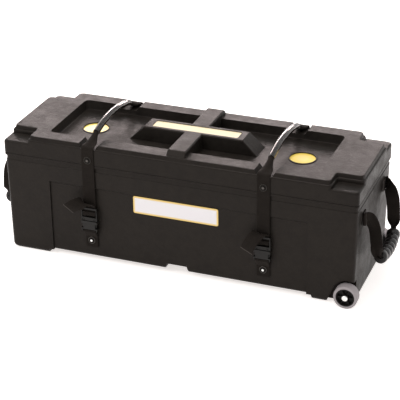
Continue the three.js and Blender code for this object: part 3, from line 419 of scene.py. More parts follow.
def woven(wire):
    u, v, _ = wire.places("UV").parts()
    cords = u / (2.2 * mm)
    picks = v / (1.5 * mm) + 0.5 * cords.sum("PINGPONG", 1.0)
    ridge = (cords * math.tau).sum("SINE") * 0.5 + 0.5
    weft = (picks * math.tau).sum("SINE") * 0.5 + 0.5
    weave = ridge * 0.6 + weft * 0.4
    fuzz = wire.mottle(wire.places(), 700.0, 3.0)
    wear_and_highlight = wire.mottle(wire.places(), 40.0, 4.0)
    share = (weave * 0.5 + fuzz * 0.3 + wear_and_highlight * 0.35).clear_of(0.3, 0.95)
    # The last few millimetres at the cut end are painted paler: partly the melted end's own colour,
    # partly a painted highlight where the end catches the light.
    sealed_end_and_glint = 1.0 - v.clear_of(1.2 * mm, 2.6 * mm)
    return {
        "Base Color": wire.blend(sealed_end_and_glint, wire.blend(share, web_dark, web_pale), web_sealed_end_and_glint),
        "Roughness": 0.62 + 0.2 * fuzz,
        "Normal": wire.relief(weave + 0.3 * fuzz, 0.35 * mm, 0.8),
    }


webbing = material("Black webbing", {
    "Specular IOR Level": 0.1, "Specular Tint": (1.0, 0.85, 0.78, 1),
    "Sheen Weight": 0.04, "Sheen Roughness": 0.4, "Sheen Tint": (1.0, 0.8, 0.72, 1)}, woven)

strap_x = 245.0
rim_half_depth = 168.5
lid_half_depth = 170.5
lid_top = 347.0
parting = 283.0
gap = 0.3
slot_depth = 10.0
shoulder_radius = 9.0
roll_inset = 8.0
buckle_mid = rim_half_depth + 5.5
buckle_top = 166.0
bar_face = 0.5
bar_thickness = 3.0
bar_top = 154.0
bar_foot = 145.0
bend_radius = 1.4
tail_out = bar_face - gap - web_thickness / 2
load_out = tail_out - gap - web_thickness
wrap_out = load_out + web_thickness / 2 + gap + bar_thickness + gap + web_thickness / 2
wrap_above = bar_top + gap + web_thickness / 2
wrap_below = bar_foot - gap - web_thickness / 2
tube_half_span = 110.0
tube_end_rise = 14.0
tube_crown_rise = 30.0
tail_length = 60.0
tail_foot = buckle_top + 1.0


def tube_arc(share):
    """The carry tube's line across the case, as (out, z) from front to rear."""
    rise = tube_crown_rise - tube_end_rise
    radius = (tube_half_span ** 2 + rise ** 2) / (2 * rise)
    half = math.asin(tube_half_span / radius)
    angle = half * (1 - 2 * share)
    drop = radius * (1 - math.cos(angle))
    return Vector((radius * math.sin(angle), lid_top + tube_crown_rise - drop))


def strap_line():
    """From the buckle up over the shoulder of the lid to the tube's end, as (out, z)."""
    skirt = lid_half_depth + gap + web_thickness / 2
    shoulder = lid_top - slot_depth + gap + web_thickness
    return bent_line([
        (buckle_mid + tail_out, tail_foot, 0),
        (buckle_mid + tail_out, wrap_above, bend_radius),
        (buckle_mid + wrap_out, wrap_above, bend_radius),
        (buckle_mid + wrap_out, wrap_below, bend_radius),
        (buckle_mid + load_out, wrap_below, bend_radius),
        (buckle_mid + load_out, buckle_top, bend_radius),
        (skirt, parting, 0),
        (skirt, shoulder, shoulder_radius),
        (tube_half_span, lid_top + tube_end_rise, 0),
    ])


def tail(curve, twist, x, flip):
    """The free end above the buckle: a curve in shares of its length, and its last facing."""
    start = Vector((x, -flip * (buckle_mid + tail_out), tail_foot))
    a, b, c, d = [
        start + Vector((side * flip, -out * flip, up)) * tail_length for side, out, up in curve]
    straight = Vector((flip, 0, 0))
    twisted = Vector((twist[0] * flip, twist[1] * flip, twist[2]))
    made = []
    steps = 26
    for k in range(steps + 1):
        t = k / steps
        s = 1 - t
        point = a * s ** 3 + b * 3 * s * s * t + c * 3 * s * t * t + d * t ** 3
        made.append((point, straight.lerp(twisted, t), web_width, web_thickness, 0.0))
    return made


raised_tail = (
    [(0, 0, 0), (0, 0.1, 0.34), (-0.42, 0.5, 0.38), (-0.84, 0.42, -0.02)],
    (0.7, 0.25, -0.68))
hanging_tail = (
    [(0, 0, 0), (0, 0.1, 0.32), (-0.28, 0.62, 0.24), (-0.6, 0.42, -0.62)],
    (0.85, -0.1, -0.5))
front_tails = {"left": raised_tail, "right": hanging_tail}


def lid_strap(side):
    sign = -1 if side == "left" else 1
    x = sign * strap_x
    across = Vector((1, 0, 0))

    def rolled(out):
        start = lid_half_depth - roll_inset
        share = (start - out) / (start - tube_half_span)
        return -max(0.0, min(1.0, share))

    half = stepped(strap_line(), 3.0)
    front = [(Vector((x, -p.x, p.y)), across, web_width, web_thickness, rolled(p.x)) for p in half]
    rear = [(Vector((x, p.x, p.y)), across, web_width, web_thickness, rolled(p.x)) for p in half]
    steps = 56
    over = []
    for k in range(1, steps):
        out, z = tube_arc(k / steps)
        over.append((Vector((x, -out, z)), across, web_width, web_thickness, -1.0))
    front_tail = tail(*front_tails[side], x, 1)[:0:-1]
    rear_tail = [(at, -way, *rest) for at, way, *rest in tail(*hanging_tail, x, -1)[1:]]
    return ribbon(f"strap_{side}", front_tail + front + over + rear[::-1] + rear_tail)


for side in ("left", "right"):
    dress(lid_strap(side), webbing, "lid", "webbing", f"lid_strap_{side}")

# Carry tubes. Clear vinyl tube slid over the rolled webbing before the strap is
# threaded, so that the strap over the lid makes a grip for the hand.

tube_radius = 8.8
tube_wall = 1.6
tube_lip = 0.4
tube_sides = 48


def carry_tube(side):
    x = -strap_x if side == "left" else strap_x
    steps = 64
    inner = tube_radius - tube_wall
    rings = []

    def ring(share, radius):
        out, z = tube_arc(share)
        before = tube_arc(max(share - 0.01, 0.0))
        after = tube_arc(min(share + 0.01, 1.0))
        along = Vector((0, -(after.x - before.x), after.y - before.y)).normalized()
        level = Vector((1, 0, 0))
        up = level.cross(along)
        middle = Vector((x, -out, z))
        rings.append([
            middle + (level * math.cos(a) + up * math.sin(a)) * radius
            for a in [math.tau * n / tube_sides for n in range(tube_sides)]])

    for k in range(steps + 1):
        ring(k / steps, tube_radius)
    ring(1.0, tube_radius - tube_lip)
    ring(1.0, inner + tube_lip)
    for k in range(steps, -1, -1):
        ring(k / steps, inner)
    ring(0.0, tube_radius - tube_lip)
    points = [point for one in rings for point in one]
    faces = skin(rings, False)
    last = (len(rings) - 1) * tube_sides
    for k in range(tube_sides):
        faces.append((last + k, last + (k + 1) % tube_sides, (k + 1) % tube_sides, k))
    return shaped(f"tube_{side}", points, faces, math.radians(60))


vinyl = material("Clear vinyl tube", {
    "Base Color": (0.66, 0.60, 0.58, 1), "Transmission Weight": 1.0, "IOR": 1.38, "Roughness": 0.03})
for side in ("left", "right"):
    dress(carry_tube(side), vinyl, "lid", "clear_tube", f"carry_sleeve_{side}")

# Buckles. Side-release buckles moulded in black acetal: the male half on the lid's
# strap with its two sprung prongs, and the socket on the anchor strap below.

buckle_edge = 0.45 * mm
acetal_dark = (0.0055, 0.0047, 0.0042, 1)
acetal_pale = (0.0125, 0.0110, 0.0098, 1)


def satin(wire):
    places = wire.places()
    cloud = wire.mottle(places, 90.0, 4.0)
    grain = wire.mottle(places, 1600.0, 2.0)
    return {
        "Base Color": wire.blend(cloud, acetal_dark, acetal_pale),
        "Roughness": 0.3 + 0.16 * cloud,
        "Normal": wire.relief(grain, 0.1 * mm, 0.3),
    }


acetal = material("Black acetal", {"Specular IOR Level": 0.22}, satin)
strap_places = [f"{face}_{side}" for face in ("front", "rear") for side in ("left", "right")]
bodies = frame["record"]["behaviour"]["bodies"]
for place in strap_places:
    male = softened(f"buckle_frame_{place}", f"buckle_male_{place}", buckle_edge)
    dress(male, acetal, "lid", "buckle", f"buckle_frame_{place}")
    socket = softened(f"buckle_socket_{place}", f"buckle_female_{place}", buckle_edge)
    dress(socket, acetal, "base", "buckle", f"buckle_socket_{place}")
    for letter in ("a", "b"):
        node = f"prong_{place}_{letter}"
        body = next(name for name, nodes in bodies.items() if node in nodes)
        dress(softened(node, f"spring_{place}_{letter}", buckle_edge), acetal, body, "buckle", node)

# Anchor straps. Short lengths of the same webbing, folded round the bar of each socket
# and riveted through both layers to the sunk panel of the base.

case_half_length = 495.0
base_draft = 4.0
panel_depth = 4.0
anchor_end = 44.0
anchor_bend = 78.0
socket_foot = 95.0
socket_bar = 4.0
draft_tilt = math.atan(base_draft / parting)


def panel_out(z):
    """How far the sunk panel stands from the middle of the case at a height."""
    return rim_half_depth - base_draft * (1 - z / parting) - panel_depth


def anchor_strap(place):
    flip = 1 if place.startswith("front") else -1
    x = -strap_x if place.endswith("left") else strap_x
    layer = gap + web_thickness
    bar = web_thickness + layer - web_thickness / 2
    over = socket_foot + socket_bar + gap + web_thickness / 2
    behind = [panel_out(z) + gap + web_thickness / 2 for z in (anchor_end, anchor_bend)]
    line = stepped(bent_line([
        (behind[0], anchor_end, 0),
        (behind[1], anchor_bend, web_thickness),
        (buckle_mid - bar, socket_foot, web_thickness),
        (buckle_mid - bar, over, bend_radius),
        (buckle_mid + bar, over, bend_radius),
        (buckle_mid + bar, socket_foot, web_thickness),
        (behind[1] + layer, anchor_bend - web_thickness, web_thickness),
        (behind[0] + layer, anchor_end, 0),
    ], 6), 4.0)
    across = Vector((1, 0, 0))
    stations = [(Vector((x, -flip * p.x, p.y)), across, web_width, web_thickness, 0.0) for p in line]
    return ribbon(f"anchor_{place}", stations)


for place in strap_places:
    dress(anchor_strap(place), webbing, "base", "webbing", f"anchor_strap_{place}")

# Rivets. Domed tubular rivets over pressed washers: blackened on the lid and the end handles,
# bright on the anchor straps. Each is closed over the inside of its wall. The paler rim on each
# washer is a painted highlight.

wall = 5.0
rivet_shank = 1.6
rivet_head = 5.0
rivet_rise = 2.6
washer_radius = 10.0
washer_rise = 1.2
clinch_radius = 6.0
clinch_rise = 2.0
lid_rivet_z = 305.0
anchor_rivet_z = 64.0
steel_dark = (0.6, 0.6, 0.59, 1)
steel_pale = (0.85, 0.85, 0.83, 1)
washer_black = (0.012, 0.011, 0.010, 1)
bright_dome = (0.82, 0.81, 0.79, 1)
bright_rim_highlight = (0.075, 0.07, 0.065, 1)
black_dome = (0.085, 0.078, 0.072, 1)
black_rim_highlight = (0.04, 0.037, 0.034, 1)


def lathe(profile, sides, closed=False):
    """Points and faces turned about the Y axis from (radius, y)."""
    rings = []
    for radius, y in profile:
        turn = [math.tau * k / sides for k in range(sides)]
        rings.append([Vector((radius * math.cos(a), y, radius * math.sin(a))) for a in turn])
    points = [point for ring in rings for point in ring]
    faces = skin(rings, False)
    if closed:
        last = (len(rings) - 1) * sides
        faces += [(last + k, last + (k + 1) % sides, (k + 1) % sides, k) for k in range(sides)]
    return points, faces


def rivet(stack):
    """A set rivet with its washer's back at y = 0 and its head towards -Y."""
    roll = washer_rise / 2
    dish = -washer_rise * 0.72
    seat = -washer_rise * 0.9
    end = stack + clinch_rise
    profile = [(0, end), (rivet_shank, end), (clinch_radius - roll, end)]
    profile += [(clinch_radius, end - roll), (clinch_radius, stack + gap)]
    profile += [(rivet_shank, stack + gap), (rivet_shank, 0), (washer_radius - roll, 0)]
    for k in range(1, 7):
        a = math.pi * k / 6
        profile.append((washer_radius - roll + roll * math.sin(a), -roll + roll * math.cos(a)))
    profile += [(washer_radius - 2.2, dish), (rivet_head + 1.4, dish)]
    profile += [(rivet_head + 0.5, seat), (rivet_head, seat)]
    for k in range(0, 9):
        a = math.pi / 2 * k / 8
        profile.append((rivet_head * math.cos(a), -washer_rise - rivet_rise * math.sin(a)))
    made = shaped("rivet pattern", *lathe(profile, 40), math.radians(50))
    reach = made.data.attributes.new("reach", "FLOAT", "POINT")
    for entry, vertex in zip(reach.data, made.data.vertices):
        entry.value = math.hypot(vertex.co.x, vertex.co.z)
    return made


def setting_tree():
    """Copies of a pattern piece on points that carry their own turn."""
    tree = bpy.data.node_groups.new("Set out", "GeometryNodeTree")
    kinds = {"Places": "Geometry", "Pattern": "Object", "Size": "Float", "Finish": "Material"}
    for label, kind in kinds.items():
        tree.interface.new_socket(label, in_out="INPUT", socket_type=f"NodeSocket{kind}")
    tree.interface.new_socket("Set", in_out="OUTPUT", socket_type="NodeSocketGeometry")
    wire = Wire(tree)
    given = wire.node("NodeGroupInput").link.node.outputs
    inputs = {label: Wire(tree, given[label]) for label in kinds}
    pattern = wire.node("GeometryNodeObjectInfo", None, {"Object": inputs["Pattern"]}, "Geometry")
    vector = {"data_type": "FLOAT_VECTOR"}
    turn = wire.node("GeometryNodeInputNamedAttribute", vector, {"Name": "turn"})
    turned = wire.node("FunctionNodeEulerToRotation", None, {0: turn})
    copies = wire.node("GeometryNodeInstanceOnPoints", None, {
        "Points": inputs["Places"], "Instance": pattern, "Rotation": turned, "Scale": inputs["Size"]})
    real = wire.node("GeometryNodeRealizeInstances", None, {"Geometry": copies})
    done = wire.node("GeometryNodeSetMaterial", None, {"Geometry": real, "Material": inputs["Finish"]})
    out = tree.nodes.new("NodeGroupOutput")
    tree.links.new(done.link, out.inputs["Set"])
    return tree


set_out_tree = setting_tree()


def set_out(name, pattern, turns, finish, size=1.0):
    """The pattern at each matrix, as one plain mesh; the pattern itself is put away."""
    mesh = bpy.data.meshes.new(name)
    mesh.from_pydata([turn.translation * mm for turn in turns], [], [])
    angles = mesh.attributes.new("turn", "FLOAT_VECTOR", "POINT")
    for entry, turn in zip(angles.data, turns):
        entry.vector = turn.to_euler()
    piece = placed(name, mesh)
    setting = piece.modifiers.new("Set out", "NODES")
    setting.node_group = set_out_tree
    given = {"Pattern": pattern, "Size": size, "Finish": finish}
    for item in set_out_tree.interface.items_tree:
        if item.in_out == "INPUT" and item.name in given:
            setting[item.identifier] = given[item.name]
    settled(piece)
    bpy.data.objects.remove(pattern)
    return piece


def burnished(wire):
    cloud = wire.mottle(wire.places(), 260.0, 4.0)
    return {
        "Base Color": wire.blend(cloud, steel_dark, steel_pale),
        "Roughness": 0.16 + 0.14 * cloud,
        "Normal": wire.relief(cloud, 0.08 * mm, 0.3),
    }


def capped(cap, wear_and_highlight):
    """A dome in a dark washer with a paler rim, told apart by the distance from the shank. The rim's
    paler colour is a painted highlight on the washer's edge.
    """
    def varied(wire):
        reach = wire.node("ShaderNodeAttribute", {"attribute_name": "reach"}, None, "Fac")
        cloud = wire.mottle(wire.places(), 260.0, 4.0)
        dome = 1.0 - reach.clear_of(2.6 * mm, 3.8 * mm)
        # The washer's rim is painted paler: a painted highlight along its edge.
        rim = reach.clear_of(8.4 * mm, 9.2 * mm)
        washer = wire.blend(rim, washer_black, wear_and_highlight)
        return {
            "Base Color": wire.blend(dome, washer, cap),
            "Roughness": 0.22 + 0.14 * cloud,
            "Normal": wire.relief(cloud, 0.08 * mm, 0.3),
        }
    return varied


polished = {"Metallic": 1.0}
bright_metal = material("Bright steel", polished, burnished)
bright_cap = material("Bright cap", polished, capped(bright_dome, bright_rim_highlight))
black_cap = material("Blackened cap", polished, capped(black_dome, black_rim_highlight))


def rivet_turn(angle, x, out, z, tilt=0.0):
    """Where a rivet goes on a wall that faces that way round, out from the middle."""
    turn = Matrix.Rotation(angle, 4, "Z")
    return turn @ Matrix.Translation((x, -out, z)) @ Matrix.Rotation(tilt, 4, "X")


front_and_rear = [0.0, math.pi]
both_straps = [-strap_x, strap_x]
lid_stack = web_thickness + 2 * gap
anchor_stack = 2 * web_thickness + 3 * gap
lid_turns = [
    rivet_turn(a, x, lid_half_depth + lid_stack, lid_rivet_z)
    for a in front_and_rear for x in both_straps]
lid_rivets = set_out("lid_rivets", rivet(lid_stack + wall), lid_turns, black_cap)
dress(lid_rivets, black_cap, "lid", "dark_metal", *[f"lid_rivet_{place}" for place in strap_places])
anchor_turns = [
    rivet_turn(a, x, panel_out(anchor_rivet_z) + anchor_stack, anchor_rivet_z, draft_tilt)
    for a in front_and_rear for x in both_straps]
anchor_rivets = set_out("anchor_rivets", rivet(anchor_stack + wall), anchor_turns, bright_cap)
anchor_nodes = [f"anchor_rivet_{place}" for place in strap_places]
dress(anchor_rivets, bright_cap, "base", "bright_metal", *anchor_nodes)

# End handles. Heavier webbing riveted to the end wall, folded back over each rivet and
# hung down to a moulded rubber grip with finger ridges, where it is folded narrower.

handle_width = 34.0
handle_thickness = 2.6
handle_rivet_z = 231.0
handle_rivet_y = 103.0
handle_fold_y = 117.0
handle_grip_half = 73.0
handle_grip_out = 40.0
handle_grip_z = 107.0
grip_bow = 6.0
grip_sag = 8.0
grip_fold = 0.92
grip_thinning = 0.6
grip_radius = 14.5
grip_end_radius = 15.0
grip_flare = 3.0
grip_ridge = 2.6
grip_ridges = 7
grip_ease = 1.6
mouth_half_width = 11.0
mouth_half_height = 4.0
mouth_share = 0.06
tab_end = 12.0
fold_tuck = 2.0
end_panel_depth = 2.0
rubber_dark = (0.0065, 0.0055, 0.005, 1)
rubber_pale = (0.016, 0.0138, 0.0125, 1)
handle_flat = gap + handle_thickness / 2
handle_stack = handle_thickness + 2 * gap
handle_layer = handle_stack + washer_rise + rivet_rise + gap + handle_thickness / 2
fold_half = (handle_layer - handle_flat) / 2
leg_start = handle_fold_y - fold_half
end_out = case_half_length - end_panel_depth - base_draft * (1 - handle_rivet_z / parting)
leg_shares = [
    (0.01, 0.05, 0, (0, 0, 1)),
    (0.1, 0.1, 0, (0.08, 0, 1)),
    (0.25, 0.24, 0.04, (0.3, -0.05, 0.95)),
    (0.44, 0.34, 0.13, (0.6, -0.12, 0.75)),
    (0.6, 0.42, 0.25, (0.85, -0.2, 0.45)),
    (0.7, 0.46, 0.38, (0.95, -0.24, 0.15)),
    (0.77, 0.5, 0.54, (0.97, -0.24, 0)),
    (0.83, 0.56, 0.7, (0.97, -0.24, 0)),
    (0.89, 0.68, 0.85, (0.98, -0.2, 0)),
    (0.95, 0.84, 0.95, (1, -0.1, 0)),
]


def grip_point(share):
    """A point on the line along the middle of the grip."""
    along = 2 * share - 1
    bow = 1 - along ** 2
    out = handle_grip_out + grip_bow * bow
    return Vector((out, handle_grip_half * along, handle_grip_z - grip_sag * bow))


def smoothed(stations, steps):
    """More stations on a smooth curve through the given ones."""
    made = []
    last = len(stations) - 1
    for i in range(last):
        rows = [stations[max(i - 1, 0)], stations[i], stations[i + 1], stations[min(i + 2, last)]]
        for k in range(steps):
            t = k / steps
            shares = (
                (-t + 2 * t * t - t ** 3) / 2,
                (2 - 5 * t * t + 3 * t ** 3) / 2,
                (t + 4 * t * t - 3 * t ** 3) / 2,
                (t ** 3 - t * t) / 2,
            )
            point, across = (
                sum((row[j] * share for row, share in zip(rows, shares)), Vector((0, 0, 0)))
                for j in (0, 1))
            sizes = [rows[1][j] * (1 - t) + rows[2][j] * t for j in (2, 3, 4)]
            made.append((point, across, *sizes))
    return made + [stations[-1]]


def ended(stations, side):
    """Stations in the frame of one end wall, placed on the case."""
    turn = Matrix.Rotation(0.0 if side == "right" else math.pi, 3, "Z")
    shift = Vector((end_out, 0, 0))
    return [(turn @ (at + shift), turn @ way, *sizes) for at, way, *sizes in stations]


def handle_loop(side):
    up = Vector((0, 0, 1))
    start = Vector((handle_layer, fold_tuck + gap - leg_start, handle_rivet_z))
    leg = [(start, up, handle_width, handle_thickness, 0.0)]
    for out, along, fall, across in leg_shares:
        folded = max(0.0, 1 - (1 - fall) / 0.25)
        at = Vector((
            start.x + (handle_grip_out - start.x) * out,
            start.y + (-handle_grip_half - start.y) * along,
            start.z + (handle_grip_z - start.z) * fall))
        thickness = handle_thickness - grip_thinning * folded
        leg.append((at, Vector(across), handle_width, thickness, folded * grip_fold))
    across = Vector((1, 0, 0))
    thickness = handle_thickness - grip_thinning
    grip = [(grip_point(k / 6), across, handle_width, thickness, grip_fold) for k in range(7)]
    flip = Matrix.Scale(-1, 3, (0, 1, 0))
    other = [(flip @ at, flip @ way, *sizes) for at, way, *sizes in reversed(leg)]
    return ribbon(f"handle_loop_{side}", ended(smoothed(leg + grip + other, 8), side))


def handle_tab(side, sign):
    up = Vector((0, 0, 1))
    line = [Vector((handle_flat, tab_end - handle_rivet_y))]
    for k in range(13):
        a = math.pi * k / 12
        line.append(Vector((
            handle_flat + fold_half * (1 - math.cos(a)), -leg_start - fold_half * math.sin(a))))
    line.append(Vector((handle_layer, fold_tuck - leg_start)))
    letter = "a" if sign < 0 else "b"
    stations = [
        (Vector((p.x, -sign * p.y, handle_rivet_z)), up, handle_width, handle_thickness, 0.0)
        for p in stepped(line, 4.0)]
    return ribbon(f"tab_{side}_{letter}", ended(stations, side))


def handle_grip(side):
    rings = []
    sides = 40
    steps = 112

    def ring(share, radius, mouth=0.0):
        before = grip_point(max(share - 0.01, 0.0))
        after = grip_point(min(share + 0.01, 1.0))
        along = (after - before).normalized()
        level = (Vector((1, 0, 0)) - along * along.x).normalized()
        up = level.cross(along)
        middle = grip_point(share)
        made = []
        for n in range(sides):
            a = math.tau * n / sides
            wide = radius * (1 - mouth) + mouth_half_width * mouth
            tall = radius * (1 - mouth) + mouth_half_height * mouth
            made.append(middle + level * wide * math.cos(a) + up * tall * math.sin(a))
        rings.append(made)

    ring(mouth_share, 0, 1.0)
    ring(0.0, 0, 1.0)
    ring(0.0, grip_end_radius)
    for k in range(steps + 1):
        share = k / steps
        flare = abs(2 * share - 1) ** 6 * grip_flare
        ridge = grip_ridge * abs(math.sin(math.pi * grip_ridges * share)) ** 0.7
        end = grip_ease * max(0.0, 1 - min(share, 1 - share) * 60)
        ring(share, grip_radius + flare + ridge - end)
    ring(1.0, grip_end_radius)
    ring(1.0, 0, 1.0)
    ring(1.0 - mouth_share, 0, 1.0)
    turn = Matrix.Rotation(0.0 if side == "right" else math.pi, 3, "Z")
    points = [turn @ (point + Vector((end_out, 0, 0))) for one in rings for point in one]
    return shaped(f"grip_{side}", points, skin(rings), math.radians(60))


def rubbery(wire):
    places = wire.places()
    cloud = wire.mottle(places, 70.0, 4.0)
    grain = wire.mottle(places, 1400.0, 2.0)
    return {
        "Base Color": wire.blend(cloud, rubber_dark, rubber_pale),
        "Roughness": 0.22 + 0.15 * cloud,
        "Normal": wire.relief(grain, 0.15 * mm, 0.4),
    }


rubber = material("Grip rubber", {"Specular IOR Level": 0.34}, rubbery)
for side in ("left", "right"):
    dress(handle_loop(side), webbing, f"handle_{side}", "webbing", f"handle_strap_{side}")
    dress(handle_grip(side), rubber, f"handle_{side}", "grip", f"handle_grip_{side}")
    for sign, letter in ((-1, "a"), (1, "b")):
        dress(handle_tab(side, sign), webbing, "base", "webbing", f"handle_tab_{side}_{letter}")
handle_turns = [
    rivet_turn(sign * math.pi / 2, y, end_out + handle_stack, handle_rivet_z, draft_tilt)
    for sign in (-1, 1) for y in (-handle_rivet_y, handle_rivet_y)]
handle_rivets = set_out("handle_rivets", rivet(handle_stack + wall), handle_turns, black_cap)
handle_nodes = [f"handle_rivet_{side}_{letter}" for side in ("left", "right") for letter in "ab"]
dress(handle_rivets, black_cap, "base", "dark_metal", *handle_nodes)

# Wheels. A grey rubber tyre on a black nylon hub with six ribs, turning on a bolt whose
# domed cap shows in the middle. One in each corner at the right end.

wheel_radius = 32.0
wheel_width = 30.0
tyre_depth = 7.0
axle_x = case_half_length - 23.0
wheel_outer = lid_half_depth + 13.5
axle_radius = 4.0
dish_thickness = 9.0
rib_root = 14.0
nut_radius = 6.5
nut_face = 49.3
nut_back = 54.3 + gap
cap_radius = 8.0
cap_band = 1.3
cap_rise = 2.7
tyre_dark = (0.30, 0.265, 0.27, 1)
tyre_pale = (0.40, 0.36, 0.365, 1)


def rounded_loop(corners, steps=6):
    """A closed outline through corners (x, y, radius)."""
    points = [Vector(corner[:2]) for corner in corners]
    loop = []
    for i, corner in enumerate(corners):
        loop += corner_arc(points[i], points[i - 1], points[(i + 1) % len(points)], corner[2], steps)
    return loop


def on_axle(points, face):
    """Points about an axle along Y, moved to the wheel at that face."""
    turn = Matrix.Rotation(0.0 if face == "front" else math.pi, 3, "Z")
    y = -wheel_outer if face == "front" else wheel_outer
    return [turn @ point + Vector((axle_x, y, wheel_radius)) for point in points]


def tyre(face):
    inner = wheel_radius - tyre_depth
    profile = rounded_loop([
        (inner, 0.6, 0.6), (wheel_radius - 2.6, 0, 1.4), (wheel_radius, 2.8, 2.6),
        (wheel_radius, wheel_width - 2.8, 2.6), (wheel_radius - 2.6, wheel_width, 1.4),
        (inner, wheel_width - 0.6, 0.6)])
    points, faces = lathe([(p.x, p.y) for p in profile], 96, True)
    return shaped(f"tread_{face}", on_axle(points, face), faces, math.radians(50))


def hub_rib():
    """One rib, tapered and a little thinner at its face, along +X from the middle."""
    points = []
    for x, half, face in ((7.5, 1.4, 3.4), (14.0, 1.15, 4.2), (22.8, 1.4, 3.4)):
        outline = [
            (rib_root, -half - 0.3), (face + 0.5, -half), (face, -half + 0.5),
            (face, half - 0.5), (face + 0.5, half), (rib_root, half + 0.3)]
        points.append([Vector((x, y, z)) for y, z in outline])
    return shaped("rib pattern", [p for ring in points for p in ring], skin(points), math.radians(50))


def hub(face):
    rim = wheel_radius - tyre_depth - gap
    bore = axle_radius + gap
    plate_at = (wheel_width - dish_thickness) / 2
    profile = rounded_loop([
        (bore, 0, 0.5), (9.0, 0, 1.0), (9.4, plate_at, 1.5), (rim - 3.6, plate_at, 1.8),
        (rim - 3.0, 1.0, 1.2), (rim, 1.0, 0.8), (rim, wheel_width, 0.8), (bore, wheel_width, 0.5)], 4)
    points, faces = lathe([(p.x, p.y) for p in profile], 96, True)
    return shaped(f"hub_dish_{face}", on_axle(points, face), faces, math.radians(45))


def bolt(face):
    seat = -gap
    profile = [(0, nut_back), (nut_radius, nut_back), (nut_radius, nut_face)]
    profile += [(axle_radius, nut_face), (axle_radius, seat)]
    profile += [(cap_radius - 0.6, seat), (cap_radius, seat - 0.5), (cap_radius, seat - cap_band)]
    for k in range(1, 11):
        a = math.pi / 2 * k / 10
        profile.append((cap_radius * math.cos(a), seat - cap_band - cap_rise * math.sin(a)))
    points, faces = lathe(profile, 64)
    return shaped(f"bolt_{face}", on_axle(points, face), faces, math.radians(45))


def tyred(wire):
    places = wire.places()
    cloud = wire.mottle(places, 55.0, 5.0)
    grain = wire.mottle(places, 1100.0, 2.0)
    return {
        "Base Color": wire.blend(cloud, tyre_dark, tyre_pale),
        "Roughness": 0.5 + 0.2 * cloud,
        "Normal": wire.relief(grain, 0.15 * mm, 0.4),
    }


grey_rubber = material("Grey tyre rubber", {}, tyred)
nylon = material("Black nylon", {"Specular IOR Level": 0.12}, satin)
for face in ("front", "rear"):
    dress(tyre(face), grey_rubber, f"wheel_{face}", "tyre", f"tyre_{face}")
    dress(hub(face), nylon, f"wheel_{face}", "hub", f"hub_{face}")
    turn = Matrix.Rotation(0.0 if face == "front" else math.pi, 4, "Z")
    out = -wheel_outer if face == "front" else wheel_outer
    middle = Matrix.Translation((axle_x, out, wheel_radius))
    ribs = set_out(
        f"hub_ribs_{face}", hub_rib(),
        [middle @ turn @ Matrix.Rotation(math.tau * k / 6, 4, "Y") for k in range(6)], nylon)
    dress(ribs, nylon, f"wheel_{face}", "hub")
    dress(bolt(face), bright_metal, "base", "bright_metal", f"axle_{face}")

# Studio. A white floor and a white room, with a soft lamp behind the case, one over it
# and a small one at the front left, and the camera where the photograph was taken from.

yaw, pitch, roll = (math.radians(angle) for angle in (20.779, 26.199, -0.444))
aim = Vector((7.244, 0, 150.603)) * mm
reach = 4058.76 * mm
back = Vector((math.sin(yaw) * math.cos(pitch), -math.cos(yaw) * math.cos(pitch), math.sin(pitch)))
level = Vector((math.cos(yaw), math.sin(yaw), 0))
upward = back.cross(level)
right = level * math.cos(roll) + upward * math.sin(roll)
top = upward * math.cos(roll) - level * math.sin(roll)
lens = bpy.data.cameras.new("Camera")
lens.sensor_width = 36
lens.lens = 133.636
lens.clip_end = 50
camera = bpy.data.objects.new("Camera", lens)
bpy.context.scene.collection.objects.link(camera)
facing = Matrix((right, top, back)).transposed().to_4x4()
camera.matrix_world = Matrix.Translation(aim + back * reach) @ facing
bpy.context.scene.camera = camera

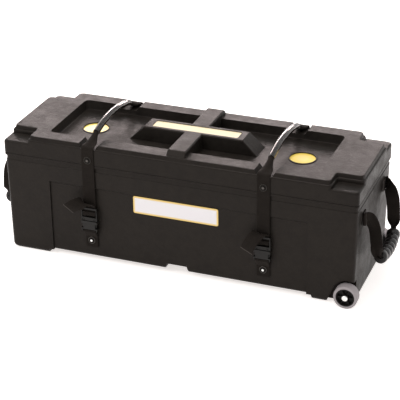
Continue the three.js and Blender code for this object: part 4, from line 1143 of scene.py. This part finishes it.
floor_half = 6.0
floor_glow = (1.0, 0.945, 0.915, 1)
sheet = bpy.data.meshes.new("floor")
quarters = [(-1, -1), (1, -1), (1, 1), (-1, 1)]
corners = [(x * floor_half, y * floor_half, -0.1 * mm) for x, y in quarters]
sheet.from_pydata(corners, [], [(0, 1, 2, 3)])
floor = placed("floor", sheet)


def seen(wire):
    """1 for rays that the camera, gloss or glass looks along, and 0 for light that bounces."""
    rays = wire.node("ShaderNodeLightPath").link.node.outputs
    ways = [Wire(wire.tree, rays[f"Is {kind} Ray"]) for kind in ("Camera", "Glossy", "Transmission")]
    return ways[0].sum("MAXIMUM", ways[1]).sum("MAXIMUM", ways[2])


def lit_floor(wire):
    return {"Emission Color": wire.blend(seen(wire), (0, 0, 0, 1), floor_glow)}


floor.data.materials.append(material("White floor", {
    "Base Color": (0.86, 0.86, 0.86, 1), "Roughness": 0.8, "Specular IOR Level": 0.1,
    "Emission Strength": 0.68}, lit_floor))

room = bpy.data.worlds.new("White room")
bpy.context.scene.world = room
room.use_nodes = True
room.node_tree.nodes.clear()
wire = Wire(room.node_tree)
white = wire.node("ShaderNodeBackground", None, {"Color": (1, 1, 1, 1), "Strength": 1.0})
fill = wire.node("ShaderNodeBackground", None, {"Color": (1, 1, 1, 1), "Strength": 0.78})
both = wire.node("ShaderNodeMixShader", None, {0: seen(wire), 1: fill, 2: white})
output = room.node_tree.nodes.new("ShaderNodeOutputWorld")
room.node_tree.links.new(both.link, output.inputs["Surface"])


def lamp(name, place, wide, high, power, tint):
    """A soft rectangular lamp that looks at the case."""
    light = bpy.data.lights.new(name, "AREA")
    light.shape = "RECTANGLE"
    light.size = wide
    light.size_y = high
    light.energy = power
    light.color = tint
    made = bpy.data.objects.new(name, light)
    bpy.context.scene.collection.objects.link(made)
    facing = (place - aim).to_track_quat("Z", "Y").to_matrix().to_4x4()
    made.matrix_world = Matrix.Translation(place) @ facing


lamp("Back lamp", Vector((-0.8, 2.6, 1.2)), 2.6, 0.7, 50, (1.0, 0.85, 0.83))
lamp("Front lamp", Vector((-1.7, -2.3, 2.6)), 0.5, 0.5, 26, (1.0, 0.98, 0.95))
lamp("Top lamp", Vector((-0.4, 0.3, 3.0)), 1.6, 0.5, 30, (1.0, 0.93, 0.9))

bpy.context.scene.view_settings.view_transform = "Standard"
